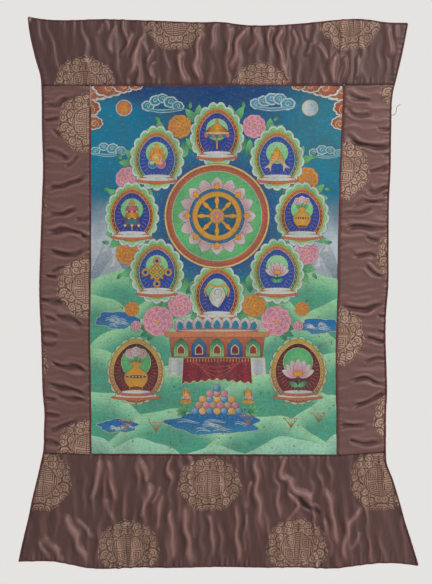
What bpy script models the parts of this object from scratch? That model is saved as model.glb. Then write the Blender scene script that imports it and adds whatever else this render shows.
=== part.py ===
"""A thangka scroll painting, hung by its top edge.

A painted canvas is framed by four pieces of satin brocade: a flared panel above, a flared panel below and
a strip down each side. A thin piping runs round the canvas and a narrow binding runs round the outline.

The file works in metres with +Z up. The front faces -Y. The origin is the middle of the top edge, halfway
through the cloth. The tables are in millimetres: x is across, z is height above a level line that lies
LINE_ABOVE_ORIGIN over the origin, and a fold's rise is towards the viewer, so a trough has a negative rise.
"""

from collections import namedtuple

import bmesh
import bpy
import numpy as np

MM = 0.001
LINE_ABOVE_ORIGIN = 4.0
GAP = 0.3

BROCADE_THICKNESS = 1.8
CANVAS_THICKNESS = 1.4
PIPING_WIDTH = 2.4
PIPING_THICKNESS = 2.6
BINDING_WIDTH = 2.6
BINDING_THICKNESS = 2.4
THREAD_RADIUS = 0.5

# Faces along and across each piece. A panel's columns are counted beside the left strip, beside the canvas
# and beside the right strip.
PANEL_COLUMNS = (12, 62, 12)
TOP_ROWS = 9
BOTTOM_ROWS = 13
STRIP_COLUMNS = 5
STRIP_ROWS = 82
CANVAS_COLUMNS = 6
PIPING_STEPS = 24

Across = namedtuple("Across", "x z")
Side = namedtuple("Side", "z left right")
Seam = namedtuple("Seam", "z left right")
Fold = namedtuple("Fold", "x_from z_from x_by z_by x_to z_to half_width rise")
Wave = namedtuple("Wave", "x_length z_length phase rise")

# The outline, to the outer edge of the binding.
TOP_EDGE = [
    Across(-376, 6),
    Across(-350, 2),
    Across(-212, 1.4),
    Across(-129, -0.8),
    Across(-19, -4.6),
    Across(0, -4),
    Across(63, -10.6),
    Across(165, -7.4),
    Across(205, -3.6),
    Across(248, 0.6),
    Across(289, 2.2),
    Across(317, -0.8),
    Across(334, -3.6),
    Across(384, -6),
]
BOTTOM_EDGE = [
    Across(-396, -1084),
    Across(-350, -1082.6),
    Across(-322, -1083),
    Across(-292, -1088),
    Across(-267, -1093.6),
    Across(-132, -1095),
    Across(168, -1095),
    Across(242, -1096.4),
    Across(275, -1092),
    Across(330, -1086.6),
    Across(372, -1088),
    Across(404, -1092),
]
SIDES = [
    Side(10, -377, 387),
    Side(-24, -373, 381),
    Side(-70, -363, 372),
    Side(-120, -350, 360),
    Side(-140, -349, 355),
    Side(-220, -348, 350.5),
    Side(-300, -346, 349),
    Side(-360, -348, 346),
    Side(-460, -351.5, 345),
    Side(-540, -353.5, 344),
    Side(-580, -352.5, 340.5),
    Side(-620, -350.5, 339),
    Side(-700, -348, 341),
    Side(-740, -347, 342),
    Side(-790, -343, 340),
    Side(-820, -344, 340),
    Side(-866, -346, 340),
    Side(-884, -350, 341),
    Side(-920, -358, 354),
    Side(-960, -368, 366),
    Side(-1000, -376, 377),
    Side(-1040, -386, 390),
    Side(-1100, -399, 408),
]

# Where the brocade is sewn to the canvas and to itself.
CANVAS_SIDES = [
    Seam(-130, -252.6, 257.4),
    Seam(-220, -252.6, 254),
    Seam(-300, -252.6, 250.4),
    Seam(-380, -252.6, 248.8),
    Seam(-460, -252.6, 246.4),
    Seam(-540, -253.4, 246),
    Seam(-620, -254.4, 243.4),
    Seam(-700, -253.4, 242),
    Seam(-780, -252.4, 243.6),
    Seam(-870, -252, 244),
]
TOP_SEAM = [Across(-348, -130), Across(354, -129)]
BOTTOM_SEAM = [Across(-346, -867), Across(-252, -870), Across(244, -872), Across(340, -865)]

# The main folds of the top panel run down from its edge and from its seam.
TOP_FOLDS = [
    Fold(-228, -6, -234, -18, -240, -32, 11, 2),
    Fold(-204, -10, -212, -42, -212, -72, 13, 3),
    Fold(-168, -18, -178, -48, -192, -76, 13, 3),
    Fold(-146, -26, -160, -70, -176, -112, 15, 5),
    Fold(-129, -54, -134, -70, -139, -86, 11, 2.5),
    Fold(-124, -80, -128, -100, -132, -120, 12, 3),
    Fold(-68, -60, -74, -96, -58, -128, 15, 5),
    Fold(-27, -20, -41, -75, -30, -128, 15, 5),
    Fold(-2, -6, -8, -34, -8, -64, 12, 3),
    Fold(24, -10, 28, -40, 16, -76, 12, 3),
    Fold(60, -14, 40, -56, 30, -108, 15, 5),
    Fold(80, -14, 74, -42, 66, -74, 12, 3),
    Fold(104, -12, 104, -34, 102, -58, 12, 2.5),
    Fold(132, -12, 126, -60, 143, -120, 15, 5),
    Fold(154, -14, 155, -45, 154, -80, 12, 2.5),
    Fold(179, -10, 180, -24, 182, -42, 11, 2.5),
    Fold(193, -42, 187, -57, 181, -74, 11, 2.5),
    Fold(204, -46, 212, -64, 224, -84, 13, 3),
    Fold(245, -60, 234, -98, 238, -128, 15, 5),
    Fold(259, -70, 256, -96, 256, -124, 12, 3),
    Fold(278, -72, 286, -92, 276, -122, 12, 3),
    Fold(342, -10, 348, -46, 350, -76, 13, 3),
    Fold(356, -8, 360, -22, 365, -40, 11, 2.5),
]
# The bottom panel falls in longer folds, which spread with its flare.
BOTTOM_FOLDS = [
    Fold(-234, -874, -238, -920, -254, -966, 15, 5),
    Fold(-218, -874, -211, -920, -200, -966, 14, 4),
    Fold(-220, -954, -216, -980, -202, -1006, 13, 3),
    Fold(-148, -874, -145, -902, -132, -930, 15, 5),
    Fold(-128, -926, -140, -958, -152, -998, 15, 5),
    Fold(-115, -932, -122, -952, -130, -972, 12, 3),
    Fold(-94, -876, -95, -898, -96, -922, 12, 3),
    Fold(-104, -946, -114, -985, -116, -1022, 13, 3.5),
    Fold(-94, -976, -88, -1030, -88, -1090, 15, 5),
    Fold(-62, -960, -60, -1025, -40, -1092, 16, 5),
    Fold(-46, -976, -45, -1008, -46, -1042, 11, 2.5),
    Fold(-18, -984, -8, -1030, -8, -1084, 14, 4),
    Fold(-310, -984, -280, -1036, -258, -1092, 17, 5),
    Fold(-280, -996, -262, -1018, -242, -1040, 13, 3),
    Fold(-350, -1030, -322, -1060, -300, -1088, 14, 4),
    Fold(-360, -1036, -344, -1058, -338, -1082, 11, 3),
    Fold(80, -874, 82, -944, 94, -1034, 16, 5),
    Fold(68, -922, 64, -950, 60, -980, 12, 3),
    Fold(42, -962, 42, -1040, 50, -1092, 14, 4),
    Fold(60, -984, 57, -1026, 54, -1068, 11, 2.5),
    Fold(113, -930, 124, -966, 122, -998, 13, 3),
    Fold(138, -874, 131, -902, 140, -926, 16, 5),
    Fold(138, -916, 164, -942, 198, -962, 17, 6),
    Fold(150, -950, 180, -970, 208, -988, 13, -4),
    Fold(140, -944, 162, -974, 132, -1010, 14, 4),
    Fold(218, -932, 230, -990, 240, -1056, 16, 5),
    Fold(210, -994, 226, -1034, 228, -1080, 13, 3),
    Fold(298, -968, 262, -1020, 256, -1092, 16, 5),
    Fold(290, -1022, 280, -1042, 268, -1062, 13, 3),
]
# The strips are gathered where they are sewn, and pucker across.
LEFT_FOLDS = [
    Fold(-344, -170, -318, -166, -276, -148, 11, -3),
    Fold(-346, -203, -330, -200, -312, -200, 11, -3),
    Fold(-326, -218, -320, -224, -310, -232, 10, -2.5),
    Fold(-342, -262, -322, -264, -294, -280, 11, -3),
    Fold(-304, -292, -288, -284, -274, -272, 10, -2.5),
    Fold(-340, -332, -300, -330, -260, -310, 12, -4),
    Fold(-338, -390, -310, -388, -276, -376, 12, -4),
    Fold(-282, -399, -268, -397, -254, -393, 10, -2.5),
    Fold(-342, -424, -290, -423, -254, -440, 12, -4),
    Fold(-340, -463, -300, -468, -260, -461, 12, -4),
    Fold(-346, -513, -333, -512, -316, -510, 11, -3),
    Fold(-330, -499, -318, -499, -304, -497, 10, -2.5),
    Fold(-350, -557, -330, -562, -300, -574, 12, -3.5),
    Fold(-322, -586, -300, -596, -266, -618, 11, -3),
    Fold(-350, -594, -336, -595, -318, -601, 10, -2.5),
    Fold(-350, -626, -335, -630, -316, -635, 11, -3),
    Fold(-348, -645, -334, -647, -318, -649, 10, -2.5),
    Fold(-334, -688, -295, -693, -254, -709, 12, -4),
    Fold(-342, -728, -305, -736, -258, -749, 12, -3.5),
    Fold(-320, -748, -290, -759, -254, -757, 11, -3),
    Fold(-344, -754, -332, -757, -316, -761, 10, -2.5),
    Fold(-340, -790, -329, -791, -310, -792, 11, -3),
    Fold(-338, -821, -310, -816, -274, -798, 12, -3.5),
    Fold(-344, -842, -330, -844, -312, -852, 11, -3),
]
RIGHT_FOLDS = [
    Fold(262, -150, 285, -157, 310, -163, 11, -3),
    Fold(264, -174, 282, -192, 314, -186, 11, -3),
    Fold(322, -219, 334, -219, 348, -217, 10, -3),
    Fold(256, -231, 308, -254, 350, -247, 13, -4.5),
    Fold(330, -272, 340, -271, 350, -270, 10, -2.5),
    Fold(304, -305, 325, -300, 348, -296, 11, -3.5),
    Fold(300, -338, 324, -340, 346, -330, 11, -3.5),
    Fold(328, -352, 337, -351, 346, -350, 10, -2.5),
    Fold(268, -370, 304, -362, 342, -371, 11, -3),
    Fold(254, -389, 280, -385, 314, -379, 11, -2.5),
    Fold(254, -408, 300, -416, 346, -416, 13, -4),
    Fold(300, -433, 312, -436, 326, -442, 10, -2.5),
    Fold(272, -470, 300, -470, 320, -480, 11, -3),
    Fold(296, -492, 314, -503, 334, -516, 12, -3.5),
    Fold(250, -565, 290, -580, 340, -558, 12, -4),
    Fold(322, -595, 332, -596, 341, -597, 10, -2.5),
    Fold(322, -622, 331, -623, 340, -624, 10, -2.5),
    Fold(296, -638, 318, -640, 338, -646, 11, -3.5),
    Fold(296, -682, 318, -678, 338, -680, 11, -3),
    Fold(268, -720, 308, -722, 342, -731, 12, -3.5),
    Fold(268, -773, 304, -764, 340, -743, 12, -4),
    Fold(248, -810, 272, -812, 304, -810, 11, -3.5),
    Fold(266, -842, 286, -845, 334, -848, 11, -3),
]
FOLDS = TOP_FOLDS + BOTTOM_FOLDS + LEFT_FOLDS + RIGHT_FOLDS
FOLD_POINTS = 9
FOLD_ENDS = 0.3

# The whole cloth hangs in slow waves, and its free lower edge flutes a little more.
WAVES = [Wave(410, 900, 0.6, 1.1), Wave(233, 640, 2.1, 0.7), Wave(151, -520, 4.0, 0.4)]
HEM_FLUTES = Wave(187, 2400, 1.2, 3.0)
HEM_FROM, HEM_TO = -900, -1096

# A thread end that has come out of the binding near the right shoulder, measured from where it leaves the
# binding's outer edge: to the right, towards the viewer and up.
THREAD_HEIGHT = -190
THREAD_POINTS = [
    (0.3, 0.0, 0.0),
    (1.6, 0.2, -0.1),
    (4.4, 2.2, -0.2),
    (7.4, 4.4, 2.2),
    (9.0, 6.0, 7.0),
    (9.2, 6.8, 12.2),
    (11.2, 5.8, 17.0),
    (14.8, 3.8, 19.2),
    (18.0, 1.8, 21.6),
]


def through(places, values, at):
    """A smooth curve through a table, read at each of the places asked for."""
    places = np.asarray(places, float)
    values = np.asarray(values, float)
    slopes = np.gradient(values, places)
    index = np.clip(np.searchsorted(places, at) - 1, 0, len(places) - 2)
    width = places[index + 1] - places[index]
    t = np.clip((at - places[index]) / width, 0, 1)
    start = (1 + 2 * t) * (1 - t) ** 2
    end = t**2 * (3 - 2 * t)
    leave = t * (1 - t) ** 2 * width
    arrive = -(t**2) * (1 - t) * width
    return start * values[index] + end * values[index + 1] + leave * slopes[index] + arrive * slopes[index + 1]


def edge_height(table, x):
    return through([row.x for row in table], [row.z for row in table], x)


def seam_height(table, x):
    return np.interp(x, [row.x for row in table], [row.z for row in table])


def side_x(table, name, z):
    rows = sorted(table, key=lambda row: row.z)
    return through([row.z for row in rows], [getattr(row, name) for row in rows], z)


def smooth(t):
    t = np.clip(t, 0, 1)
    return t * t * (3 - 2 * t)


def fold_rise(fold, x, z):
    """How far one fold lifts the cloth: a soft ridge along a bent line, fading at both ends."""
    t = np.linspace(0, 1, FOLD_POINTS)
    first, middle, last = (1 - t) * (1 - 2 * t), 4 * t * (1 - t), t * (2 * t - 1)
    line_x = first * fold.x_from + middle * fold.x_by + last * fold.x_to
    line_z = first * fold.z_from + middle * fold.z_by + last * fold.z_to
    nearest = np.full(x.shape, 1e9)
    along = np.zeros(x.shape)
    for i in range(FOLD_POINTS - 1):
        step_x, step_z = line_x[i + 1] - line_x[i], line_z[i + 1] - line_z[i]
        part = ((x - line_x[i]) * step_x + (z - line_z[i]) * step_z) / (step_x**2 + step_z**2)
        part = np.clip(part, 0, 1)
        far = np.hypot(x - line_x[i] - part * step_x, z - line_z[i] - part * step_z)
        closer = far < nearest
        nearest = np.where(closer, far, nearest)
        along = np.where(closer, (i + part) / (FOLD_POINTS - 1), along)
    across = np.clip(1 - (nearest / fold.half_width) ** 2, 0, 1) ** 2
    ends = smooth(along / FOLD_ENDS) * smooth((1 - along) / FOLD_ENDS)
    return fold.rise * across * ends


def wave_rise(wave, x, z):
    return wave.rise * np.sin(2 * np.pi * (x / wave.x_length + z / wave.z_length) + wave.phase)


def cloth_rise(x, z, folds):
    """How far the middle of the cloth stands out from the plane it hangs in, in millimetres."""
    rise = sum(wave_rise(wave, x, z) for wave in WAVES)
    rise = rise + wave_rise(HEM_FLUTES, x, z) * smooth((HEM_FROM - z) / (HEM_FROM - HEM_TO))
    return rise + sum(fold_rise(fold, x, z) for fold in folds)


def colour(red, green, blue):
    """Linear values of a colour given as seen on a screen."""
    seen = np.array([red, green, blue]) / 255
    return (*np.where(seen <= 0.04045, seen / 12.92, ((seen + 0.055) / 1.055) ** 2.4), 1)


def material(name, base, roughness):
    made = bpy.data.materials.new(name)
    made.use_nodes = True
    shader = made.node_tree.nodes["Principled BSDF"]
    shader.inputs["Base Color"].default_value = base
    shader.inputs["Roughness"].default_value = roughness
    shader.inputs["Metallic"].default_value = 0
    return made


def steps(*counts):
    """Even steps from 0 to 1, 1 to 2 and so on, with a count for each stretch."""
    stretches = [i + np.arange(count) / count for i, count in enumerate(counts)]
    return np.append(np.concatenate(stretches), len(counts))


def cloth(name, columns, rows, place, thickness, folds, look):
    """One sheet: a grid laid on the cloth by place(across, down), then thickened straight back."""
    mesh = bmesh.new()
    bmesh.ops.create_grid(mesh, x_segments=len(columns) - 1, y_segments=len(rows) - 1, size=0.5)
    cell = np.array([len(columns) - 1, len(rows) - 1])
    index = np.rint((np.array([vert.co.xy for vert in mesh.verts]) + 0.5) * cell).astype(int)
    x, z = place(columns[index[:, 0]], rows[len(rows) - 1 - index[:, 1]])
    rise = cloth_rise(x, z, folds)
    for vert, across, up, out in zip(mesh.verts, x, z + LINE_ABOVE_ORIGIN, rise + thickness / 2):
        vert.co = (across * MM, -out * MM, up * MM)
    made = bmesh.ops.extrude_face_region(mesh, geom=mesh.faces[:])
    back = [item for item in made["geom"] if isinstance(item, bmesh.types.BMVert)]
    bmesh.ops.translate(mesh, verts=back, vec=(0, thickness * MM, 0))
    bmesh.ops.recalc_face_normals(mesh, faces=mesh.faces[:])
    data = bpy.data.meshes.new(name)
    mesh.to_mesh(data)
    mesh.free()
    data.shade_smooth()
    data.set_sharp_from_angle(angle=np.radians(50))
    data.materials.append(look)
    made_object = bpy.data.objects.new(name, data)
    scroll.objects.link(made_object)
    return made_object


INSET = BINDING_WIDTH + GAP
SEAM_GAP = GAP / 2
PIPING_ZONE = PIPING_WIDTH + 2 * GAP


def corner_fractions():
    """How far across a panel's seam the canvas corners lie: at the top seam, then at the bottom seam."""
    found = []
    for table, row in ((TOP_SEAM, CANVAS_SIDES[0]), (BOTTOM_SEAM, CANVAS_SIDES[-1])):
        left = side_x(SIDES, "left", table[0].z) + INSET
        right = side_x(SIDES, "right", table[-1].z) - INSET
        found.append(((row.left - left) / (right - left), (row.right - left) / (right - left)))
    return found


TOP_FRACTIONS, BOTTOM_FRACTIONS = corner_fractions()


def panel_place(edge, seam, fractions, inset_sign):
    """Lays a flared panel between its free edge (down = 0) and its seam (down = 1)."""
    at = np.array([0, fractions[0], fractions[1], 1])

    def place(across, down):
        share = np.interp(across, [0, 1, 2, 3], at)
        edge_x = edge[0].x + INSET + share * (edge[-1].x - edge[0].x - 2 * INSET)
        seam_left = side_x(SIDES, "left", seam[0].z) + INSET
        seam_right = side_x(SIDES, "right", seam[-1].z) - INSET
        seam_x = seam_left + share * (seam_right - seam_left)
        free = edge_height(edge, edge_x) - inset_sign * INSET
        sewn = seam_height(seam, seam_x) + inset_sign * SEAM_GAP
        z = free + down * (sewn - free)
        left = side_x(SIDES, "left", z) + INSET
        right = side_x(SIDES, "right", z) - INSET
        return left + share * (right - left), z

    return place


def strip_place(outer, inner):
    """Lays a side strip. outer and inner give x at a height, for its free edge and for its seam."""

    def place(across, down):
        x = outer(0) + across * (inner(0) - outer(0))
        for _ in range(4):
            top = seam_height(TOP_SEAM, x) - SEAM_GAP
            bottom = seam_height(BOTTOM_SEAM, x) + SEAM_GAP
            z = top + down * (bottom - top)
            x = outer(z) + across * (inner(z) - outer(z))
        return x, z

    return place


def left_edge(z):
    return side_x(SIDES, "left", z) + INSET


def right_edge(z):
    return side_x(SIDES, "right", z) - INSET


def left_seam(z):
    return side_x(CANVAS_SIDES, "left", z)


def right_seam(z):
    return side_x(CANVAS_SIDES, "right", z)


def between(left, right, top, bottom):
    """Lays a piece between two side lines and two level lines, each a function of the other direction."""

    def place(across, down):
        z = top(0) + down * (bottom(0) - top(0))
        x = left(z) + across * (right(z) - left(z))
        z = top(x) + down * (bottom(x) - top(x))
        return left(z) + across * (right(z) - left(z)), z

    return place


def shifted(line, by):
    return lambda at: line(at) + by


def top_seam(x):
    return seam_height(TOP_SEAM, x)


def bottom_seam(x):
    return seam_height(BOTTOM_SEAM, x)


for old in list(bpy.data.objects):
    bpy.data.objects.remove(old)
scroll = bpy.data.collections.new("thangka_scroll_painting")
bpy.context.scene.collection.children.link(scroll)

brocade = material("satin_brocade", colour(104, 82, 78), 0.38)
canvas = material("painted_canvas", colour(78, 140, 140), 0.62)
piping = material("piping_cloth", colour(96, 38, 44), 0.55)
binding = material("binding_cloth", colour(84, 34, 40), 0.55)
thread = material("thread", colour(120, 30, 36), 0.6)

# Brocade: the two flared panels run the full width, and the strips stand between them.
top_place = panel_place(TOP_EDGE, TOP_SEAM, TOP_FRACTIONS, 1)
bottom_place = panel_place(BOTTOM_EDGE, BOTTOM_SEAM, BOTTOM_FRACTIONS, -1)
left_place = strip_place(left_edge, left_seam)
right_place = strip_place(right_edge, right_seam)
panel_columns = steps(*PANEL_COLUMNS)
top_rows = steps(TOP_ROWS)
bottom_rows = steps(BOTTOM_ROWS)[::-1]
strip_columns = steps(STRIP_COLUMNS)
strip_rows = steps(STRIP_ROWS)
cloth("top_panel", panel_columns, top_rows, top_place, BROCADE_THICKNESS, FOLDS, brocade)
cloth("bottom_panel", panel_columns, bottom_rows, bottom_place, BROCADE_THICKNESS, FOLDS, brocade)
cloth("left_strip", strip_columns, strip_rows, left_place, BROCADE_THICKNESS, FOLDS, brocade)
cloth("right_strip", strip_columns[::-1], strip_rows, right_place, BROCADE_THICKNESS, FOLDS, brocade)

# Canvas: its edge lies under the piping's inner side.
canvas_place = between(
    shifted(left_seam, PIPING_ZONE),
    shifted(right_seam, -PIPING_ZONE),
    shifted(top_seam, -PIPING_ZONE),
    shifted(bottom_seam, PIPING_ZONE),
)
cloth("painting", steps(CANVAS_COLUMNS), steps(PIPING_STEPS), canvas_place, CANVAS_THICKNESS, [], canvas)

# Piping: the long runs go over and under the canvas, and the side runs stand between them.
runs = steps(PIPING_STEPS)
one = steps(1)
over = between(
    shifted(left_seam, GAP),
    shifted(right_seam, -GAP),
    shifted(top_seam, -GAP),
    shifted(top_seam, -GAP - PIPING_WIDTH),
)
under = between(
    shifted(left_seam, GAP),
    shifted(right_seam, -GAP),
    shifted(bottom_seam, GAP + PIPING_WIDTH),
    shifted(bottom_seam, GAP),
)
beside_left = between(
    shifted(left_seam, GAP),
    shifted(left_seam, GAP + PIPING_WIDTH),
    shifted(top_seam, -PIPING_ZONE),
    shifted(bottom_seam, PIPING_ZONE),
)
beside_right = between(
    shifted(right_seam, -GAP - PIPING_WIDTH),
    shifted(right_seam, -GAP),
    shifted(top_seam, -PIPING_ZONE),
    shifted(bottom_seam, PIPING_ZONE),
)
cloth("piping_top", runs, one, over, PIPING_THICKNESS, [], piping)
cloth("piping_bottom", runs, one, under, PIPING_THICKNESS, [], piping)
cloth("piping_left", one, runs, beside_left, PIPING_THICKNESS, [], piping)
cloth("piping_right", one, runs, beside_right, PIPING_THICKNESS, [], piping)


def beside_panels(side, out):
    """Lays the binding down one side, from the top panel's corner to the bottom panel's."""
    end = 0 if side == "left" else 3
    strip = left_place if side == "left" else right_place

    def place(across, down):
        above = top_place(end, np.clip(down, 0, 1))
        along = strip(0, np.clip(down - 1, 0, 1))
        below = bottom_place(end, np.clip(3 - down, 0, 1))
        x = np.select([down <= 1, down < 2], [above[0], along[0]], below[0])
        z = np.select([down <= 1, down < 2], [above[1], along[1]], below[1])
        return x + out * (GAP + across * BINDING_WIDTH), z

    return place


def along_panel(panel, up):
    """Lays the binding along a panel's free edge and over the ends of the side bindings."""

    def place(across, down):
        x, z = panel(np.clip(across, 0, 3), 0)
        x = x + INSET * (across > 3) - INSET * (across < 0)
        return x, z + up * (GAP + down * BINDING_WIDTH)

    return place


side_rows = steps(TOP_ROWS, STRIP_ROWS, BOTTOM_ROWS)
edge_columns = np.concatenate([[-1], panel_columns, [4]])
cloth("binding_top", edge_columns, one, along_panel(top_place, 1), BINDING_THICKNESS, FOLDS, binding)
cloth("binding_bottom", edge_columns, one, along_panel(bottom_place, -1), BINDING_THICKNESS, FOLDS, binding)
cloth("binding_left", one, side_rows, beside_panels("left", -1), BINDING_THICKNESS, FOLDS, binding)
cloth("binding_right", one, side_rows, beside_panels("right", 1), BINDING_THICKNESS, FOLDS, binding)

# The loose thread is a thin round cord.
curve = bpy.data.curves.new("loose_thread", "CURVE")
curve.dimensions = "3D"
curve.bevel_depth = THREAD_RADIUS * MM
curve.bevel_resolution = 1
curve.use_fill_caps = True
spline = curve.splines.new("POLY")
spline.points.add(len(THREAD_POINTS) - 1)
root_x = side_x(SIDES, "right", THREAD_HEIGHT)
root_out = cloth_rise(np.array([root_x]), np.array([THREAD_HEIGHT]), FOLDS)[0]
for point, (right, out, up) in zip(spline.points, THREAD_POINTS):
    z = THREAD_HEIGHT + up + LINE_ABOVE_ORIGIN
    point.co = ((root_x + right) * MM, -(root_out + out) * MM, z * MM, 1)
curve.materials.append(thread)
scroll.objects.link(bpy.data.objects.new("loose_thread", curve))
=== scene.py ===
"""A thangka scroll painting in its brocade mounting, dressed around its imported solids."""

from collections import namedtuple

import bpy
import numpy as np
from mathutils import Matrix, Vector
from mathutils.geometry import delaunay_2d_cdt


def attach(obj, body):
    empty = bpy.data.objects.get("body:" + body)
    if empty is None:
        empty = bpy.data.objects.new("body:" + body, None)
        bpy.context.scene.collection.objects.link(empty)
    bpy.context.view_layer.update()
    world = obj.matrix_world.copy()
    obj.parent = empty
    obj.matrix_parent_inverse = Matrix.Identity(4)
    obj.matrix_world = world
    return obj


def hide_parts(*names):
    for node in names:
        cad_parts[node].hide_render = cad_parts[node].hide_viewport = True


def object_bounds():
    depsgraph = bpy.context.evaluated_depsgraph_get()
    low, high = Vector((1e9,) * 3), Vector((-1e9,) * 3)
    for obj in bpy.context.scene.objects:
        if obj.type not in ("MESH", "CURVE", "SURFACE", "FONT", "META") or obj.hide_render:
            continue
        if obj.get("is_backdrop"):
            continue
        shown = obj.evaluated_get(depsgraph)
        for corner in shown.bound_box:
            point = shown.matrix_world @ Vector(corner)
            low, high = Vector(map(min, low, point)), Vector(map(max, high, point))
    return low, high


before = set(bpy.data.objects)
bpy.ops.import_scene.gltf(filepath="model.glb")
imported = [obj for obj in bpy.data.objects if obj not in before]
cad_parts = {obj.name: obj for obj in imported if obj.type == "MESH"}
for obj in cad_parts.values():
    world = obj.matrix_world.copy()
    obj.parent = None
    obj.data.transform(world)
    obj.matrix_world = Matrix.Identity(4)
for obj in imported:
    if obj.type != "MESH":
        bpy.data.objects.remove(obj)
cad_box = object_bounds()

# The camera looks square at the hanging, a little below its middle, from across a room.
MM = 0.001
SIGHT_HEIGHT = -0.540
SIGHT_DISTANCE = 2.92
camera = bpy.data.objects.new("camera", bpy.data.cameras.new("camera"))
camera.data.lens = 90
camera.data.sensor_width = 36
camera.location = (0, -SIGHT_DISTANCE, SIGHT_HEIGHT)
camera.rotation_euler = (np.pi / 2, 0, 0)
bpy.context.scene.collection.objects.link(camera)
bpy.context.scene.camera = camera


# The loose thread: one end of the dark red sewing thread, about 34 mm long, which has come out of the binding
# near the right shoulder and stands away from it. It is twisted from two plies.
THREAD_THICKNESS = 1.0
THREAD_ROUTE = [
    (0.35118, 0.00093, -0.1860),
    (0.35248, 0.00073, -0.1861),
    (0.35528, -0.00127, -0.1862),
    (0.35828, -0.00347, -0.1838),
    (0.35988, -0.00507, -0.1790),
    (0.36008, -0.00587, -0.1738),
    (0.36208, -0.00487, -0.1690),
    (0.36568, -0.00287, -0.1668),
    (0.36888, -0.00087, -0.1644),
]
THREAD_RED = (128, 22, 28)
THREAD_LIGHT = (150, 44, 46)


def linear(red, green, blue):
    """Linear values of a colour given as seen on a screen."""
    seen = np.array([red, green, blue]) / 255
    return (*np.where(seen <= 0.04045, seen / 12.92, ((seen + 0.055) / 1.055) ** 2.4), 1)


class Mix:
    """One value, vector or colour in a material, with the usual signs for arithmetic."""

    def __init__(self, tree, socket):
        self.tree = tree
        self.socket = socket

    def math(self, operation, *others):
        made = self.tree.nodes.new("ShaderNodeMath")
        made.operation = operation
        for i, value in enumerate((self, *others)):
            put(self.tree, made.inputs[i], value)
        return Mix(self.tree, made.outputs[0])

    def __add__(self, other):
        return self.math("ADD", other)

    def __sub__(self, other):
        return self.math("SUBTRACT", other)

    def __mul__(self, other):
        return self.math("MULTIPLY", other)

    def __truediv__(self, other):
        return self.math("DIVIDE", other)

    def __mod__(self, other):
        return self.math("FLOORED_MODULO", other)

    def __neg__(self):
        return self.math("MULTIPLY", -1)

    def __radd__(self, other):
        return self.math("ADD", other)

    def __rmul__(self, other):
        return self.math("MULTIPLY", other)

    def __rsub__(self, other):
        return (-self).math("ADD", other)

    def __lt__(self, other):
        return self.math("LESS_THAN", other)

    def __gt__(self, other):
        return self.math("GREATER_THAN", other)

    def __abs__(self):
        return self.math("ABSOLUTE")

    def sin(self):
        return self.math("SINE")

    def cos(self):
        return self.math("COSINE")

    def root(self):
        return self.math("SQRT")

    def fraction(self):
        return self.math("FRACT")

    def least(self, other):
        return self.math("MINIMUM", other)

    def most(self, other):
        return self.math("MAXIMUM", other)

    def power(self, other):
        return self.math("POWER", other)

    def fade(self, low, high):
        """0 below low, 1 above high and smooth between. low may be the larger, to fade the other way."""
        made = self.tree.nodes.new("ShaderNodeMapRange")
        made.interpolation_type = "SMOOTHSTEP"
        flip = not isinstance(low, Mix) and not isinstance(high, Mix) and low > high
        first, second = (high, low) if flip else (low, high)
        put(self.tree, made.inputs["Value"], self)
        put(self.tree, made.inputs["From Min"], first)
        put(self.tree, made.inputs["From Max"], second)
        made.inputs["To Min"].default_value = 1 if flip else 0
        made.inputs["To Max"].default_value = 0 if flip else 1
        return Mix(self.tree, made.outputs["Result"])


def put(tree, socket, value):
    """Links a value of the material to a socket, or sets a plain one on it."""
    if isinstance(value, Mix):
        tree.links.new(value.socket, socket)
    else:
        socket.default_value = value


class Finish:
    """A material being mixed: node() adds any node, surface() sets the shader."""

    def __init__(self, name):
        self.material = bpy.data.materials.new(name)
        self.material.use_nodes = True
        self.tree = self.material.node_tree
        self.shader = self.tree.nodes["Principled BSDF"]

    def node(self, kind, settings=None, output=0, **sockets):
        made = self.tree.nodes.new("ShaderNode" + kind)
        for key, value in (settings or {}).items():
            setattr(made, key, value)
        for key, value in sockets.items():
            found = [s for s in made.inputs if s.name.replace(" ", "_") == key and s.enabled]
            put(self.tree, found[0], value)
        return Mix(self.tree, made.outputs[output])

    def parts(self, vector):
        """The three values of a vector."""
        split = self.tree.nodes.new("ShaderNodeSeparateXYZ")
        self.tree.links.new(vector.socket, split.inputs[0])
        return [Mix(self.tree, split.outputs[i]) for i in range(3)]

    def place(self):
        """x, y and z in the object's own frame, in millimetres."""
        return [part * 1000 for part in self.parts(self.node("TexCoord", output="Object"))]

    def vector(self, x, y, z):
        return self.node("CombineXYZ", X=x, Y=y, Z=z)

    def noise(self, where, scale, detail=2, rough=0.5):
        return self.node("TexNoise", Vector=where, Scale=scale, Detail=detail, Roughness=rough)

    def blend(self, share, first, second, how="MIX"):
        made = self.tree.nodes.new("ShaderNodeMix")
        made.data_type = "RGBA"
        made.blend_type = how
        put(self.tree, made.inputs["Factor"], share)
        put(self.tree, made.inputs[6], first)
        put(self.tree, made.inputs[7], second)
        return Mix(self.tree, made.outputs[2])

    def bump(self, height, distance, strength=1.0, over=None):
        sockets = {"Height": height, "Distance": distance, "Strength": strength}
        if over is not None:
            sockets["Normal"] = over
        return self.node("Bump", **sockets)

    def surface(self, **sockets):
        for key, value in sockets.items():
            put(self.tree, self.shader.inputs[key.replace("_", " ")], value)
        return self.material


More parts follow.
